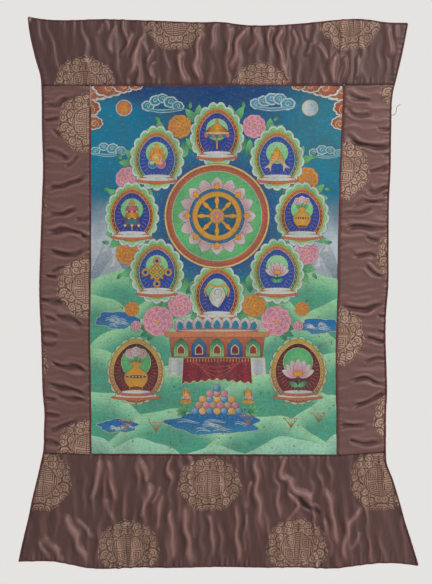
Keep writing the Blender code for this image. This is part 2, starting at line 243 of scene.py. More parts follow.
curve = bpy.data.curves.new("loose_sewing_thread", "CURVE")
curve.dimensions = "3D"
curve.bevel_depth = THREAD_THICKNESS / 2 * MM
curve.bevel_resolution = 3
curve.resolution_u = 8
curve.use_fill_caps = True
spline = curve.splines.new("NURBS")
spline.points.add(len(THREAD_ROUTE) - 1)
for point, place in zip(spline.points, THREAD_ROUTE):
    point.co = (*place, 1)
spline.use_endpoint_u = True
spline.order_u = 3
twisted = Finish("loose_thread")
x, y, z = twisted.place()
ply = ((x + z) * (2 * np.pi / 1.4) + y * 2).sin()
fuzz = twisted.noise(twisted.vector(x, y, z), 3.0, 2, 0.6)
red = twisted.blend(ply.fade(-0.2, 0.9), linear(*THREAD_RED), linear(*THREAD_LIGHT))
curve.materials.append(
    twisted.surface(
        Base_Color=red, Roughness=0.62 + 0.2 * fuzz, Normal=twisted.bump(ply * 0.5 + fuzz * 0.3, 0.0003),
        Sheen_Weight=0.3,
    )
)
thread = bpy.data.objects.new("loose_sewing_thread", curve)
bpy.context.scene.collection.objects.link(thread)
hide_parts("loose_thread")
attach(thread, "root")


# The painted picture: mineral colours and a little gold on a primed cotton canvas, which hangs in the slow
# waves of the whole mounting. Its outline, the seams round it and the waves are in millimetres, x across and
# z up from a line 4 mm over the middle of the hanging's top edge.
LINE = 4.0
PIPING_ZONE = 3.0
CANVAS_THICKNESS = 1.2
Across = namedtuple("Across", "x z")
Side = namedtuple("Side", "z left right")
Wave = namedtuple("Wave", "x_length z_length phase rise")
CANVAS_SIDES = [
    Side(-130, -252.6, 257.4),
    Side(-220, -252.6, 254),
    Side(-300, -252.6, 250.4),
    Side(-380, -252.6, 248.8),
    Side(-460, -252.6, 246.4),
    Side(-540, -253.4, 246),
    Side(-620, -254.4, 243.4),
    Side(-700, -253.4, 242),
    Side(-780, -252.4, 243.6),
    Side(-870, -252, 244),
]
TOP_SEAM = [Across(-348, -130), Across(354, -129)]
BOTTOM_SEAM = [Across(-346, -867), Across(-252, -870), Across(244, -872), Across(340, -865)]
WAVES = [Wave(410, 900, 0.6, 1.1), Wave(233, 640, 2.1, 0.7), Wave(151, -520, 4.0, 0.4)]
HEM_FLUTES = Wave(187, 2400, 1.2, 3.0)
HEM_FROM, HEM_TO = -900, -1096


def through(places, values, at):
    """A smooth curve through a table, read at each of the places asked for."""
    places = np.asarray(places, float)
    values = np.asarray(values, float)
    slopes = np.gradient(values, places)
    index = np.clip(np.searchsorted(places, at) - 1, 0, len(places) - 2)
    width = places[index + 1] - places[index]
    t = np.clip((at - places[index]) / width, 0, 1)
    start = (1 + 2 * t) * (1 - t) ** 2
    end = t**2 * (3 - 2 * t)
    leave = t * (1 - t) ** 2 * width
    arrive = -(t**2) * (1 - t) * width
    level = start * values[index] + end * values[index + 1]
    return level + leave * slopes[index] + arrive * slopes[index + 1]


def seam_height(table, x):
    """The height of a straight-sided seam at each x."""
    return np.interp(x, [row.x for row in table], [row.z for row in table])


def side_x(table, name, z):
    """Where one side of a table of widths lies at each height."""
    rows = sorted(table, key=lambda row: row.z)
    return through([row.z for row in rows], [getattr(row, name) for row in rows], z)


def smooth(t):
    """0 below 0, 1 above 1 and an even rise between."""
    t = np.clip(t, 0, 1)
    return t * t * (3 - 2 * t)


def wave_rise(wave, x, z):
    """How far one slow wave lifts the cloth."""
    return wave.rise * np.sin(2 * np.pi * (x / wave.x_length + z / wave.z_length) + wave.phase)


def hang(x, z):
    """How far the cloth stands out towards the viewer in its slow waves."""
    rise = sum(wave_rise(wave, x, z) for wave in WAVES)
    return rise + wave_rise(HEM_FLUTES, x, z) * smooth((HEM_FROM - z) / (HEM_FROM - HEM_TO))


def ripple(x, z, x_lengths, z_lengths, count, seed):
    """Uneven ripples between about -1 and 1, from a few waves whose lengths lie in the two ranges."""
    chance = np.random.default_rng(seed)
    total = np.zeros(np.shape(x))
    for _ in range(count):
        x_length = chance.uniform(*x_lengths) * chance.choice([-1, 1])
        z_length = chance.uniform(*z_lengths)
        total = total + np.sin(2 * np.pi * (x / x_length + z / z_length) + chance.uniform(0, 6.28))
    return total / np.sqrt(count)


# Brushwork. Each stroke is a closed outline with a colour, or with two colours that run into each other.
Stroke = namedtuple("Stroke", "points colour into share")
strokes = []
INK = (52, 44, 52)
WHITE = (206, 210, 203)
CREAM = (196, 184, 148)
GOLD_PAINT = (196, 152, 66)
PALE_GOLD = (214, 190, 120)
ORANGE = (222, 158, 44)
TERRACOTTA = (196, 112, 76)
BROWN_RED = (140, 62, 46)
MAROON = (118, 34, 48)
PINK = (206, 108, 132)
PALE_PINK = (232, 176, 186)
ROYAL_BLUE = (42, 62, 150)
TURQUOISE = (44, 130, 148)
LIGHT_GREEN = (122, 198, 122)
PALE_GREEN = (158, 205, 160)
DEEP_GREEN = (24, 104, 88)


def turned_left(points):
    """The same closed outline, running anticlockwise."""
    points = np.asarray(points, float)
    ahead = np.roll(points, -1, 0)
    area = np.sum(points[:, 0] * ahead[:, 1] - ahead[:, 0] * points[:, 1])
    return points if area > 0 else points[::-1]


def paint(points, colour, into=None, share=None):
    """Adds a stroke over the ones before it."""
    strokes.append(Stroke(turned_left(points), colour, into or colour, share))


def upward(low, high):
    """A share that grows from one height to another."""
    return lambda x, z: (z - low) / (high - low)


def outward(middle_x, middle_z, near, far):
    """A share that grows with the distance from a middle."""
    return lambda x, z: (np.hypot(x - middle_x, z - middle_z) - near) / (far - near)


def sideways(middle_x, far):
    """A share that grows to both sides of a middle line."""
    return lambda x, z: abs(x - middle_x) / far


def grown(points, by):
    """The outline moved outwards by a distance."""
    points = turned_left(points)
    ahead, behind = np.roll(points, -1, 0) - points, points - np.roll(points, 1, 0)
    along = ahead / (np.linalg.norm(ahead, axis=1, keepdims=True) + 1e-9)
    along = along + behind / (np.linalg.norm(behind, axis=1, keepdims=True) + 1e-9)
    along = along / (np.linalg.norm(along, axis=1, keepdims=True) + 1e-9)
    return points + np.stack([along[:, 1], -along[:, 0]], axis=1) * by


def edged(points, colour, edge=INK, width=0.9, into=None, share=None):
    """A stroke with an outline of another colour round it."""
    paint(grown(points, width), edge)
    paint(points, colour, into, share)


def placed(points, x, z, turn=0.0, size=1.0):
    """Turned by an angle in degrees, clockwise from upright, then moved."""
    points = np.asarray(points, float) * size
    a = np.radians(turn)
    right = points[:, 0] * np.cos(a) + points[:, 1] * np.sin(a)
    up = -points[:, 0] * np.sin(a) + points[:, 1] * np.cos(a)
    return np.stack([x + right, z + up], axis=1)


def oval(across, up, count=30, point=0.0):
    """An oval, drawn up to a soft point at the top."""
    t = np.linspace(0, 2 * np.pi, count, endpoint=False) + np.pi / 2
    lift = 1 + point * np.clip(np.sin(t), 0, 1) ** 6
    return np.stack([across * np.cos(t), up * np.sin(t) * lift], axis=1)


def scalloped(across, up, lobes, depth=0.13, point=0.0):
    """An oval whose edge is a row of lobes, drawn up to a soft point at the top."""
    t = np.linspace(0, 2 * np.pi, lobes * 5, endpoint=False) + np.pi / 2
    swell = 1 - depth * (1 - abs(np.sin(lobes * (t - np.pi / 2) / 2)) ** 0.7)
    lift = 1 + point * np.clip(np.sin(t), 0, 1) ** 6
    return np.stack([across * np.cos(t) * swell, up * np.sin(t) * swell * lift], axis=1)


def petal(length, width, count=14):
    """A petal from its root at 0 upwards, with its widest part past the middle and a pointed tip."""
    t = np.linspace(0, 1, count)
    half = width / 2 * np.sin(np.pi * t**0.8) ** 0.75
    half[-1] = 0
    edge = np.stack([half, length * t], axis=1)
    return np.concatenate([edge, (edge * [-1, 1])[-2:0:-1]])


def path(points, count=24):
    """A smooth line through a few points."""
    points = np.asarray(points, float)
    at = np.arange(len(points))
    t = np.linspace(0, len(points) - 1, count)
    return np.stack([through(at, points[:, 0], t), through(at, points[:, 1], t)], axis=1)


def line(points, width, taper=0.15):
    """A brush line along a path, thinner at both ends."""
    points = np.asarray(points, float)
    along = np.gradient(points, axis=0)
    along = along / (np.linalg.norm(along, axis=1, keepdims=True) + 1e-9)
    side = np.stack([-along[:, 1], along[:, 0]], axis=1)
    t = np.linspace(0, 1, len(points))[:, None]
    half = width / 2 * (taper + (1 - taper) * np.sin(np.pi * t) ** 0.5)
    return np.concatenate([points + side * half, (points - side * half)[::-1]])


def curl_path(radius, turns, hand=1, count=26):
    """A volute that winds outwards from its eye at 0."""
    t = np.linspace(0, 1, count)
    a = hand * 2 * np.pi * turns * t
    far = radius * (0.12 + 0.88 * t)
    return np.stack([far * np.sin(a), far * np.cos(a)], axis=1)


def cloud(x, z, size, colour, rim=WHITE, hand=1, lobes=5):
    """A bank of rolling cloud: scalloped lobes with a pale rim and a volute in each."""
    chance = np.random.default_rng(int(abs(x * 7 + z * 3)) + 5)
    for i in range(lobes):
        t = i / (lobes - 1) - 0.5
        middle_x = x + size * 1.5 * t
        middle_z = z + size * 0.30 * np.cos(np.pi * t) * chance.uniform(0.6, 1.3)
        radius = size * chance.uniform(0.30, 0.40)
        a = chance.uniform(-20, 20)
        outer = scalloped(radius, radius * 0.8, 7, 0.10)
        inner = scalloped(radius * 0.78, radius * 0.60, 7, 0.10)
        edged(placed(outer, middle_x, middle_z, a), rim, INK, 0.7)
        edged(placed(inner, middle_x, middle_z, a), colour, rim, 0.3)
        volute = curl_path(radius * 0.42, 1.3, hand * (1 if i % 2 else -1), 20)
        paint(line(placed(volute, middle_x, middle_z), size * 0.035), rim)
    tail_points = [(x - size * 0.9, z - size * 0.16), (x, z - size * 0.26), (x + size * 1.1, z - size * 0.14)]
    tail = path(tail_points, 16)
    paint(line(tail, size * 0.17, 0.1), rim)
    paint(line(tail, size * 0.10, 0.1), colour)


def peony(x, z, radius, colour, light, turn=0):
    """A flower head seen from the front, with rings of petals: their count, distance and size."""
    rings = [(6, 0.60, 0.48), (4, 0.24, 0.36)]
    if radius > 9:
        rings = [(9, 0.66, 0.42), (7, 0.40, 0.36), (5, 0.18, 0.28)]
    for ring, (count, far, size) in enumerate(rings):
        for i in range(count):
            a = turn + 360 / count * (i + 0.4 * ring)
            middle = placed([(0, radius * far)], x, z, a)[0]
            shape = placed(oval(radius * size, radius * size * 0.8, 11 if radius > 20 else 8), *middle, a)
            fade = outward(*middle, 0, radius * size)
            paint(grown(shape, 0.4), MAROON)
            paint(shape, colour, light, fade)
    paint(placed(oval(radius * 0.12, radius * 0.10, 8), x, z), ORANGE)


def leaf(x, z, turn, length, colour, vein):
    """A pointed leaf with its mid vein, from its root."""
    shape = placed(petal(length, length * 0.46, 7), x, z, turn)
    edged(shape, colour, INK, 0.45, vein, outward(x, z, 0, length))
    mid = placed(path([(0, length * 0.1), (length * 0.03, length * 0.5), (0, length * 0.88)], 6), x, z, turn)
    paint(line(mid, 0.6, 0.2), vein)


def leaves(x, z, turn, length, count, colour, vein, spread=30):
    """A fan of leaves from one root, the middle one longest."""
    for i in range(count):
        a = turn + (i - (count - 1) / 2) * spread
        leaf(x, z, a, length * (1 - 0.12 * abs(i - (count - 1) / 2)), colour, vein)


def lotus_seat(x, z, half_width, height, outer, inner):
    """A row of rounded lotus petals, which stand up over a flat base line."""
    count = max(5, int(half_width * 2 / (height * 0.62)) | 1)
    order = sorted(range(count), key=lambda i: -abs(i - (count - 1) / 2))
    for i in order:
        t = (i - (count - 1) / 2) / ((count - 1) / 2)
        root_x, lean = x + half_width * 0.86 * t, 16 * t
        tall = height * (1 - 0.12 * t * t)
        edged(placed(petal(tall, height * 0.82), root_x, z, lean), outer, INK, 0.5, WHITE,
              upward(z, z + tall))
        edged(placed(petal(tall * 0.72, height * 0.50, 10), root_x, z + 1, lean), inner, WHITE, 0.4)
    edged(placed(oval(half_width, height * 0.16, 30), x, z), outer, INK, 0.5)
    paint(placed(oval(half_width * 0.9, height * 0.07, 24), x, z + 0.6), CREAM)


def hill(x, z, half_width, height, crest, base):
    """A rounded hill, pale at its crest."""
    t = np.linspace(-1, 1, 40)
    up = np.cos(np.pi * t / 2) ** 0.9 + 0.05 * np.cos(9 * t + x)
    top = np.stack([x + half_width * t, z - height * (1 - up)], axis=1)
    shape = np.concatenate([top, [[x + half_width, z - 2.2 * height], [x - half_width, z - 2.2 * height]]])

    def below_crest(px, pz):
        crest_z = z - height * (1 - np.cos(np.pi * np.clip((px - x) / half_width, -1, 1) / 2) ** 0.9)
        return smooth((crest_z - pz) / (0.75 * height))

    paint(shape, crest, base, below_crest)


def pond(x, z, half_width, height, seed):
    """Still water with a wavy bank and combed white waves."""
    chance = np.random.default_rng(seed)
    t = np.linspace(0, 2 * np.pi, 44, endpoint=False)
    wobble = 1 + 0.10 * np.sin(5 * t + seed) + 0.06 * np.sin(9 * t)
    shape = np.stack([x + half_width * np.cos(t) * wobble, z + height * np.sin(t) * wobble], axis=1)
    edged(shape, (36, 112, 168), CREAM, 1.0, (62, 140, 170), upward(z, z - height))
    for _ in range(9):
        a = chance.uniform(0, 2 * np.pi)
        far = chance.uniform(0.1, 0.62)
        middle_x, middle_z = x + half_width * far * np.cos(a), z + height * far * np.sin(a)
        reach = half_width * chance.uniform(0.14, 0.26)
        wave = path([(-reach, -1.5), (-reach * 0.4, 1.2), (reach * 0.2, 0.4), (reach, -2.6)], 12)
        for j in range(3):
            paint(line(placed(wave, middle_x, middle_z - 2.1 * j, chance.uniform(-6, 10)), 0.75, 0.2), WHITE)


def halo_frame(x, z, across, up, ring, ground, rim=WHITE):
    """An upright frame for an emblem: a scalloped rim, a beaded gold border and a plain ground."""
    edged(placed(scalloped(across, up, 17, 0.09, 0.10), x, z), rim, INK, 0.6)
    paint(placed(scalloped(across * 0.93, up * 0.93, 17, 0.09, 0.10), x, z), PALE_GREEN, LIGHT_GREEN,
          upward(z - up, z + up))
    edged(placed(oval(across * 0.80, up * 0.82, 40, 0.09), x, z), GOLD_PAINT, MAROON, 0.5)
    paint(placed(oval(across * 0.75, up * 0.77, 40, 0.09), x, z), ring, TERRACOTTA, upward(z, z + up))
    for i in range(30):
        a = 12 * i
        at = placed([(0, 1)], 0, 0, a)[0] * [across * 0.705, up * 0.72]
        paint(placed(oval(1.0, 1.0, 6), x + at[0], z + at[1]), PALE_GOLD)
    edged(placed(oval(across * 0.64, up * 0.67, 36, 0.10), x, z), ground, PALE_GOLD, 0.7)
    for i in range(28):
        a = 360 / 28 * i
        inner = placed([(0, 1)], 0, 0, a)[0] * [across * 0.40, up * 0.44]
        outer = placed([(0, 1)], 0, 0, a)[0] * [across * 0.60, up * 0.62]
        ray = np.linspace(inner, outer, 4) + [x, z]
        paint(line(ray, 0.55, 0.3), GOLD_PAINT)


def emblem_seat(x, z, half_width, colour):
    """A flat oval cushion with a white top."""
    edged(placed(oval(half_width, 5.4, 30), x, z - 1), colour, MAROON, 0.5, TERRACOTTA,
          upward(z + 4, z - 5))
    edged(placed(oval(half_width * 0.84, 3.2, 26), x, z + 2.2), WHITE, GOLD_PAINT, 0.4)


def parasol(x, z, s):
    """A domed parasol on a staff, with drops round its hem."""
    edged(placed([(-1.2, -22), (1.2, -22), (1.2, 6), (-1.2, 6)], x, z, 0, s), ORANGE)
    dome = path([(-20, 4), (-14, 12), (-5, 18), (0, 22), (5, 18), (14, 12), (20, 4)], 26)
    edged(placed(dome, x, z, 0, s), ORANGE, MAROON, 0.7, BROWN_RED, sideways(x, 18 * s))
    for i in range(7):
        drop = placed(petal(9, 6.4, 9), -18 + 6 * i, 5, 180)
        edged(placed(drop, x, z, 0, s), (PINK, TURQUOISE)[i % 2], INK, 0.5)
    edged(placed(oval(20.5, 2.2, 24), x, z + 4.5 * s, 0, s), PALE_GOLD, MAROON, 0.5)
    edged(placed(petal(8, 5, 9), x, z + 20 * s, 0, s), GOLD_PAINT, MAROON, 0.5)


def vase(x, z, s):
    """A round-bellied vase with three flowers."""
    left_side = [(0, -18), (-8, -17), (-14, -8), (-13, 0), (-5, 6), (-4, 10), (-9, 14)]
    right_side = [(-point_x, point_z) for point_x, point_z in left_side[::-1]]
    body = path([*left_side, (0, 15.5), *right_side], 44)[:-1]
    edged(placed(body, x, z, 0, s), ORANGE, BROWN_RED, 0.8, GOLD_PAINT, sideways(x, 14 * s))
    edged(placed(oval(13.2, 2.0, 24), x, z - 4 * s, 0, s), MAROON, PALE_GOLD, 0.5)
    for i in range(5):
        paint(placed(oval(1.1, 1.1, 7), x + (-8 + 4 * i) * s, z - 4 * s, 0, s), PALE_GOLD)
    for a, colour in ((-38, PINK), (38, TERRACOTTA), (0, PALE_PINK)):
        tip = placed([(0, 12)], 0, 14, a)[0]
        leaf(x + tip[0] * 0.4 * s, z + 14 * s, a * 1.5, 9 * s, DEEP_GREEN, LIGHT_GREEN)
        peony(x + tip[0] * s, z + (tip[1] + 1) * s, 6.2 * s, colour, WHITE, a)
    edged(placed(oval(8, 2.4, 18), x, z - 18 * s, 0, s), BROWN_RED, PALE_GOLD, 0.4)


def lotus(x, z, s, colour=PINK):
    """An open lotus on its stem."""
    stem = path([(0, -22), (1.5, -12), (0, -2)], 8)
    paint(line(placed(stem, x, z, 0, s), 2.2 * s, 0.6), DEEP_GREEN)
    leaves(x, z - 16 * s, 0, 14 * s, 2, LIGHT_GREEN, DEEP_GREEN, 130)
    for a in (-72, 72, -48, 48, -24, 24, 0):
        shape = placed(placed(petal(21, 11, 12), 0, -3, a), x, z, 0, s)
        edged(shape, colour, MAROON, 0.5, WHITE, outward(x, z, 0, 20 * s))
    edged(placed(oval(6, 3, 16), x, z, 0, s), ORANGE, MAROON, 0.5)


def conch(x, z, s):
    """A white shell with ribbons to both sides."""
    rim = [(2, -20), (-8, -14), (-13, -3), (-10, 8), (-2, 15), (6, 15), (12, 9), (14, 0), (10, -9), (2, -20)]
    shell = path(rim, 32)
    edged(placed(shell[:-1], x, z, 0, s), WHITE, INK, 0.8, CREAM, sideways(x, 13 * s))
    paint(line(placed(placed(curl_path(9, 1.6, 1, 26), 1, 5), x, z, 0, s), 1.2), TURQUOISE)
    mouth = path([(2, -18), (6, -10), (10, -2), (8, -8), (4, -15), (2, -18)], 18)
    edged(placed(mouth[:-1], x, z, 0, s), PALE_PINK, BROWN_RED, 0.4)
    for a in (-60, 60):
        ribbon = path([(0, 14), (12 * np.sign(a), 18), (20 * np.sign(a), 10), (18 * np.sign(a), -2)], 16)
        edged(line(placed(ribbon, x, z, 0, s), 2.6 * s, 0.3), ORANGE, BROWN_RED, 0.4)


def fish_pair(x, z, s):
    """Two fish that lean together."""
    for hand in (-1, 1):
        back = [(0, 22), (7, 14), (8, 2), (3, -10)]
        tail = [(6, -20), (0, -15), (-6, -20)]
        belly = [(-2, -10), (-3, 2), (-2, 14)]
        body = placed(path([*back, *tail, *belly], 34), 0, 0, 24) * [hand, 1]
        edged(placed(body, x - 8 * hand * s, z, 0, s), (GOLD_PAINT, ORANGE)[hand > 0], BROWN_RED, 0.7, WHITE,
              upward(z + 8, z + 8 - 34 * s))
        eye = placed([(0.8, 16)], 0, 0, 24)[0] * [hand, 1]
        paint(placed(oval(1.3, 1.3, 8), x + (eye[0] - 8 * hand) * s, z + eye[1] * s), INK)
        for i in range(4):
            scale = placed(path([(-3, 0), (1, -2), (6, 0)], 7), 0, 8 - 4.5 * i, 24) * [hand, 1]
            paint(line(placed(scale, x - 8 * hand * s, z, 0, s), 0.8), BROWN_RED)


def banner(x, z, s):
    """A banner of three tiers on a staff."""
    edged(placed([(-1, -24), (1, -24), (1, 22), (-1, 22)], x, z, 0, s), GOLD_PAINT)
    for i, (half, colour) in enumerate([(9, PINK), (10.5, ORANGE), (12, TURQUOISE)]):
        top = 16 - 11 * i
        tier = [(-half + 1, top), (half - 1, top), (half + 2, top - 9), (-half - 2, top - 9)]
        edged(placed(tier, x, z, 0, s), colour, INK, 0.6, MAROON, sideways(x, 18 * s))
        for j in range(5):
            drop = placed(petal(5, 4.6, 7), (-half + half / 2 * j) * 0.95, top - 8, 180)
            edged(placed(drop, x, z, 0, s), (PALE_GOLD, BROWN_RED)[(i + j) % 2], INK, 0.3)
    edged(placed(oval(5, 4, 16, 0.6), x, z + 20 * s, 0, s), GOLD_PAINT, BROWN_RED, 0.5)


def endless_knot(x, z, s):
    """A knot of crossing bands with a loop on each side."""
    reach = 15
    for low in (False, True):
        for i in (-1, 0, 1):
            for hand in (-1, 1):
                start = placed([(i * 9, -reach)], 0, 0, 45 * hand)[0]
                end = placed([(i * 9, reach)], 0, 0, 45 * hand)[0]
                band = line(np.linspace(start, end, 6), 5.2 if not low else 3.2, 0.9)
                paint(placed(band, x, z, 0, s), GOLD_PAINT if low else BROWN_RED)
    for a in (0, 90, 180, 270):
        centre = placed([(0, 19)], 0, 0, a)[0]
        middle = (x + centre[0] * s, z + centre[1] * s)
        edged(placed(oval(6.2, 6.2, 18), *middle, 0, s), GOLD_PAINT, BROWN_RED, 0.7)
        paint(placed(oval(3.0, 3.0, 12), *middle, 0, s), ROYAL_BLUE)


def jewel(x, z, s):
    """A heap of three jewels with a leaping flame."""
    for a, tall in ((-34, 24), (34, 24), (-17, 32), (17, 32), (0, 38)):
        tongue = placed(petal(tall, 11, 10), x, z - 10 * s, a, s)
        edged(tongue, TERRACOTTA, MAROON, 0.5, ORANGE, upward(z - 10 * s, z + 24 * s))
    for jx, jz, colour in ((-7, -8, TURQUOISE), (7, -8, PINK), (0, 1, ORANGE)):
        edged(placed(oval(7.4, 7.4, 20), x + jx * s, z + jz * s, 0, s), colour, WHITE, 0.6)
        paint(placed(oval(4.0, 3.0, 12), x + (jx - 1.5) * s, z + (jz + 2) * s, 0, s), PALE_GOLD)


# The design, from the back to the front: snow peaks, green hills and ponds, clouds with sun and moon, eight
# framed emblems round a large wheel, and below it a lotus seat, a covered table, two medallions and jewels.
# A hill's row is its crest's place, half its width and its height.
for peak_x, hand in ((-206, 1), (208, -1)):
    for across, foot, tall in ((30, -512, 96), (-14, -516, 78), (2, -520, 52)):
        top = (peak_x + across * hand, foot + tall)
        left_slope = [(top[0] - 34, foot), (top[0] - 18, foot + tall * 0.5)]
        right_slope = [(top[0] + 14, foot + tall * 0.55), (top[0] + 32, foot)]
        ridge = [*left_slope, top, *right_slope]
        edged(ridge, (190, 196, 198), (120, 130, 140), 0.6, (128, 146, 160), upward(top[1], top[1] - 80))
        snow = [(top[0] - 9, top[1] - 26), (top[0] - 3, top[1] - 18), top, (top[0] + 2, top[1] - 24)]
        paint(snow, WHITE)
HILLS = [
    (-190, -500, 90, 60), (196, -506, 96, 60), (-92, -540, 80, 50), (96, -545, 84, 50),
    (-250, -548, 100, 60), (258, -556, 104, 62), (0, -575, 130, 60), (-150, -600, 110, 60),
    (160, -604, 110, 60), (-268, -652, 120, 66), (262, -660, 118, 66), (-60, -690, 150, 66),
    (110, -705, 140, 66),
]
NEARER_HILLS = [(-236, -742, 110, 70), (240, -752, 104, 70), (-96, -778, 120, 66), (104, -790, 124, 66)]
NEAREST_HILLS = [
    (-150, -838, 110, 60), (146, -834, 116, 60), (0, -852, 90, 40), (-256, -828, 70, 50), (262, -822, 66, 56),
]
for i, (x, z, half_width, height) in enumerate(HILLS):
    deep = min(1, max(0, (-500 - z) / 200))
    crest = tuple(int(a + (b - a) * deep) for a, b in zip((158, 212, 160), (164, 220, 170)))
    hill(x, z, half_width, height, crest, (84, 164, 132))
pond(-196, -600, 44, 17, 3)
pond(206, -612, 40, 15, 4)
for x, z, half_width, height in NEARER_HILLS:
    hill(x, z, half_width, height, (166, 222, 176), (84, 168, 138))
pond(-4, -806, 92, 22, 5)
pond(-196, -812, 38, 13, 6)
for x, z, half_width, height in NEAREST_HILLS:
    hill(x, z, half_width, height, (172, 222, 186), (136, 196, 172))

scatter = np.random.default_rng(17)
for i in range(120):
    x, z = scatter.uniform(-246, 240), scatter.uniform(-862, -560)
    tall = scatter.uniform(3.2, 6.5)
    for lean in (-26, 0, 24):
        blade = placed([(0, 0), (0, tall * 0.5), (0, tall)], x, z, lean + scatter.uniform(-8, 8))
        paint(line(blade, 0.75, 0.5), (DEEP_GREEN, (60, 66, 52), BROWN_RED)[int(scatter.integers(3))])
for x, z in ((-178, -822), (-120, -826), (150, -818), (206, -808), (64, -812)):
    for lean in range(-44, 45, 11):
        stem = path([(0, 0), (lean * 0.10, 9), (lean * 0.34, 20 + 3 * np.cos(lean))], 7)
        paint(line(placed(stem, x, z), 0.9, 0.4), (150, 110, 74))
        paint(placed(oval(1.3, 1.9, 7), x + lean * 0.34, z + 21), (PINK, TERRACOTTA, ORANGE)[lean % 3])

CORNER_CLOUDS = [(0, -134, 44), (34, -132, 34), (64, -130, 24), (88, -129, 17), (-6, -176, 26), (4, -206, 20)]
for hand in (-1, 1):
    edge = 2 + 251 * hand
    for dx, dz, r in CORNER_CLOUDS:
        middle = (edge - dx * hand, dz)
        edged(placed(scalloped(r, r * 0.72, 9, 0.12), *middle), WHITE, INK, 0.7)
        edged(placed(scalloped(r * 0.86, r * 0.60, 9, 0.12), *middle), TERRACOTTA, CREAM, 0.5, BROWN_RED,
              outward(*middle, 0, r))
        volute = curl_path(r * 0.46, 1.5, -hand, 24)
        paint(line(placed(volute, middle[0] - 2 * hand, middle[1] - r * 0.1), 1.6), CREAM)
cloud(-106, -172, 40, TURQUOISE, (184, 202, 206), 1)
cloud(112, -168, 42, (80, 146, 166), (184, 202, 206), -1)
cloud(-216, -262, 34, (70, 150, 170), (184, 206, 206), -1, 4)
cloud(220, -266, 32, (70, 150, 170), (184, 206, 206), 1, 4)
edged(placed(oval(15, 15, 28), -184, -176), ORANGE, WHITE, 1.4, TERRACOTTA, outward(-184, -176, 0, 15))
edged(placed(oval(15, 15, 28), 188, -176), WHITE, PALE_GOLD, 1.4, (150, 180, 200), sideways(178, 25))

WHEEL_X, WHEEL_Z = 2, -392
FRAME_REACH = (170, 160)
edged(placed(oval(152, 146, 90), WHEEL_X, WHEEL_Z), (38, 84, 142), PALE_GOLD, 1.2, (40, 124, 140),
      outward(WHEEL_X, WHEEL_Z, 104, 146))
for i in range(32):
    a = 5.6 + 11.25 * i
    for far, length in ((134, 38), (190, 28 if i % 2 else 40)):
        root = placed([(0, far)], WHEEL_X, WHEEL_Z, a + (5 if far > 150 else 0))[0]
        leaves(*root, a, length, 2, (DEEP_GREEN, LIGHT_GREEN)[i % 2], (LIGHT_GREEN, DEEP_GREEN)[i % 2], 46)
for i in range(8):
    a = 22.5 + 45 * i
    spot = placed([(0, 194)], WHEEL_X, WHEEL_Z, a)[0]
    peony(*spot, 24, (PINK, TERRACOTTA)[i % 2], (PALE_PINK, ORANGE)[i % 2], a)
    for lean in (-30, 30):
        small = placed([(0, 222)], WHEEL_X, WHEEL_Z, a + lean * 0.28)[0]
        leaf(*small, a + lean, 15, LIGHT_GREEN, DEEP_GREEN)
EMBLEMS = [parasol, fish_pair, vase, lotus, conch, endless_knot, banner, jewel]
for i in (0, 1, 7, 2, 6, 3, 5, 4):
    round_x, round_z = placed([(0, 1)], 0, 0, 45 * i)[0]
    x, z = WHEEL_X + FRAME_REACH[0] * round_x, WHEEL_Z + FRAME_REACH[1] * round_z
    ring = (BROWN_RED, (70, 120, 96))[i % 2]
    halo_frame(x, z, 55, 63, ring, (ROYAL_BLUE, (44, 74, 160))[i % 2])
    edged(placed(oval(22, 22, 34), x, z + 13), LIGHT_GREEN, DEEP_GREEN, 0.6, PALE_GREEN,
          upward(z, z + 34))
    emblem_seat(x, z - 36, 33, (PINK, TERRACOTTA)[i % 2])
    emblem_seat(x, z - 42, 42, TERRACOTTA)
    EMBLEMS[i](x, z + 0.5, 1.2)

edged(placed(oval(105, 105, 72), WHEEL_X, WHEEL_Z), PALE_GOLD, MAROON, 0.8)
edged(placed(oval(101, 101, 72), WHEEL_X, WHEEL_Z), TERRACOTTA, BROWN_RED, 0.5, (170, 84, 60),
      outward(WHEEL_X, WHEEL_Z, 86, 101))
edged(placed(oval(89, 89, 72), WHEEL_X, WHEEL_Z), LIGHT_GREEN, CREAM, 1.4, (92, 182, 116),
      outward(WHEEL_X, WHEEL_Z, 58, 89))
for i in range(90):
    ray = placed(np.linspace((0, 66), (0, 87), 4), WHEEL_X, WHEEL_Z, 4 * i)
    paint(line(ray, 0.6, 0.3), (96, 160, 92))
for i in range(16):
    root = placed([(0, 50)], WHEEL_X, WHEEL_Z, 22.5 * i)[0]
    edged(placed(petal(28, 24, 10), *root, 22.5 * i), PINK, MAROON, 0.5, WHITE,
          outward(WHEEL_X, WHEEL_Z, 50, 78))
edged(placed(oval(56, 56, 60), WHEEL_X, WHEEL_Z), ROYAL_BLUE, PALE_GOLD, 1.4, (36, 110, 150),
      outward(WHEEL_X, WHEEL_Z, 0, 56))
for i in range(8):
    knob = placed([(0, 53)], WHEEL_X, WHEEL_Z, 45 * i)[0]
    edged(placed(petal(14, 10, 9), *knob, 45 * i), ORANGE, BROWN_RED, 0.6)
edged(placed(oval(49, 49, 56), WHEEL_X, WHEEL_Z), ORANGE, BROWN_RED, 1.0, GOLD_PAINT,
      outward(WHEEL_X, WHEEL_Z, 37, 49))
edged(placed(oval(38.5, 38.5, 52), WHEEL_X, WHEEL_Z), (36, 112, 128), BROWN_RED, 0.8, (24, 84, 120),
      outward(WHEEL_X, WHEEL_Z, 0, 38.5))
spoke = [(-3.0, 9), (3.0, 9), (1.9, 23), (4.4, 30), (1.6, 40), (-1.6, 40), (-4.4, 30), (-1.9, 23)]
for i in range(8):
    edged(placed(spoke, WHEEL_X, WHEEL_Z, 45 * i), ORANGE, BROWN_RED, 0.6)
edged(placed(scalloped(15, 15, 12, 0.08), WHEEL_X, WHEEL_Z), GOLD_PAINT, BROWN_RED, 0.8)
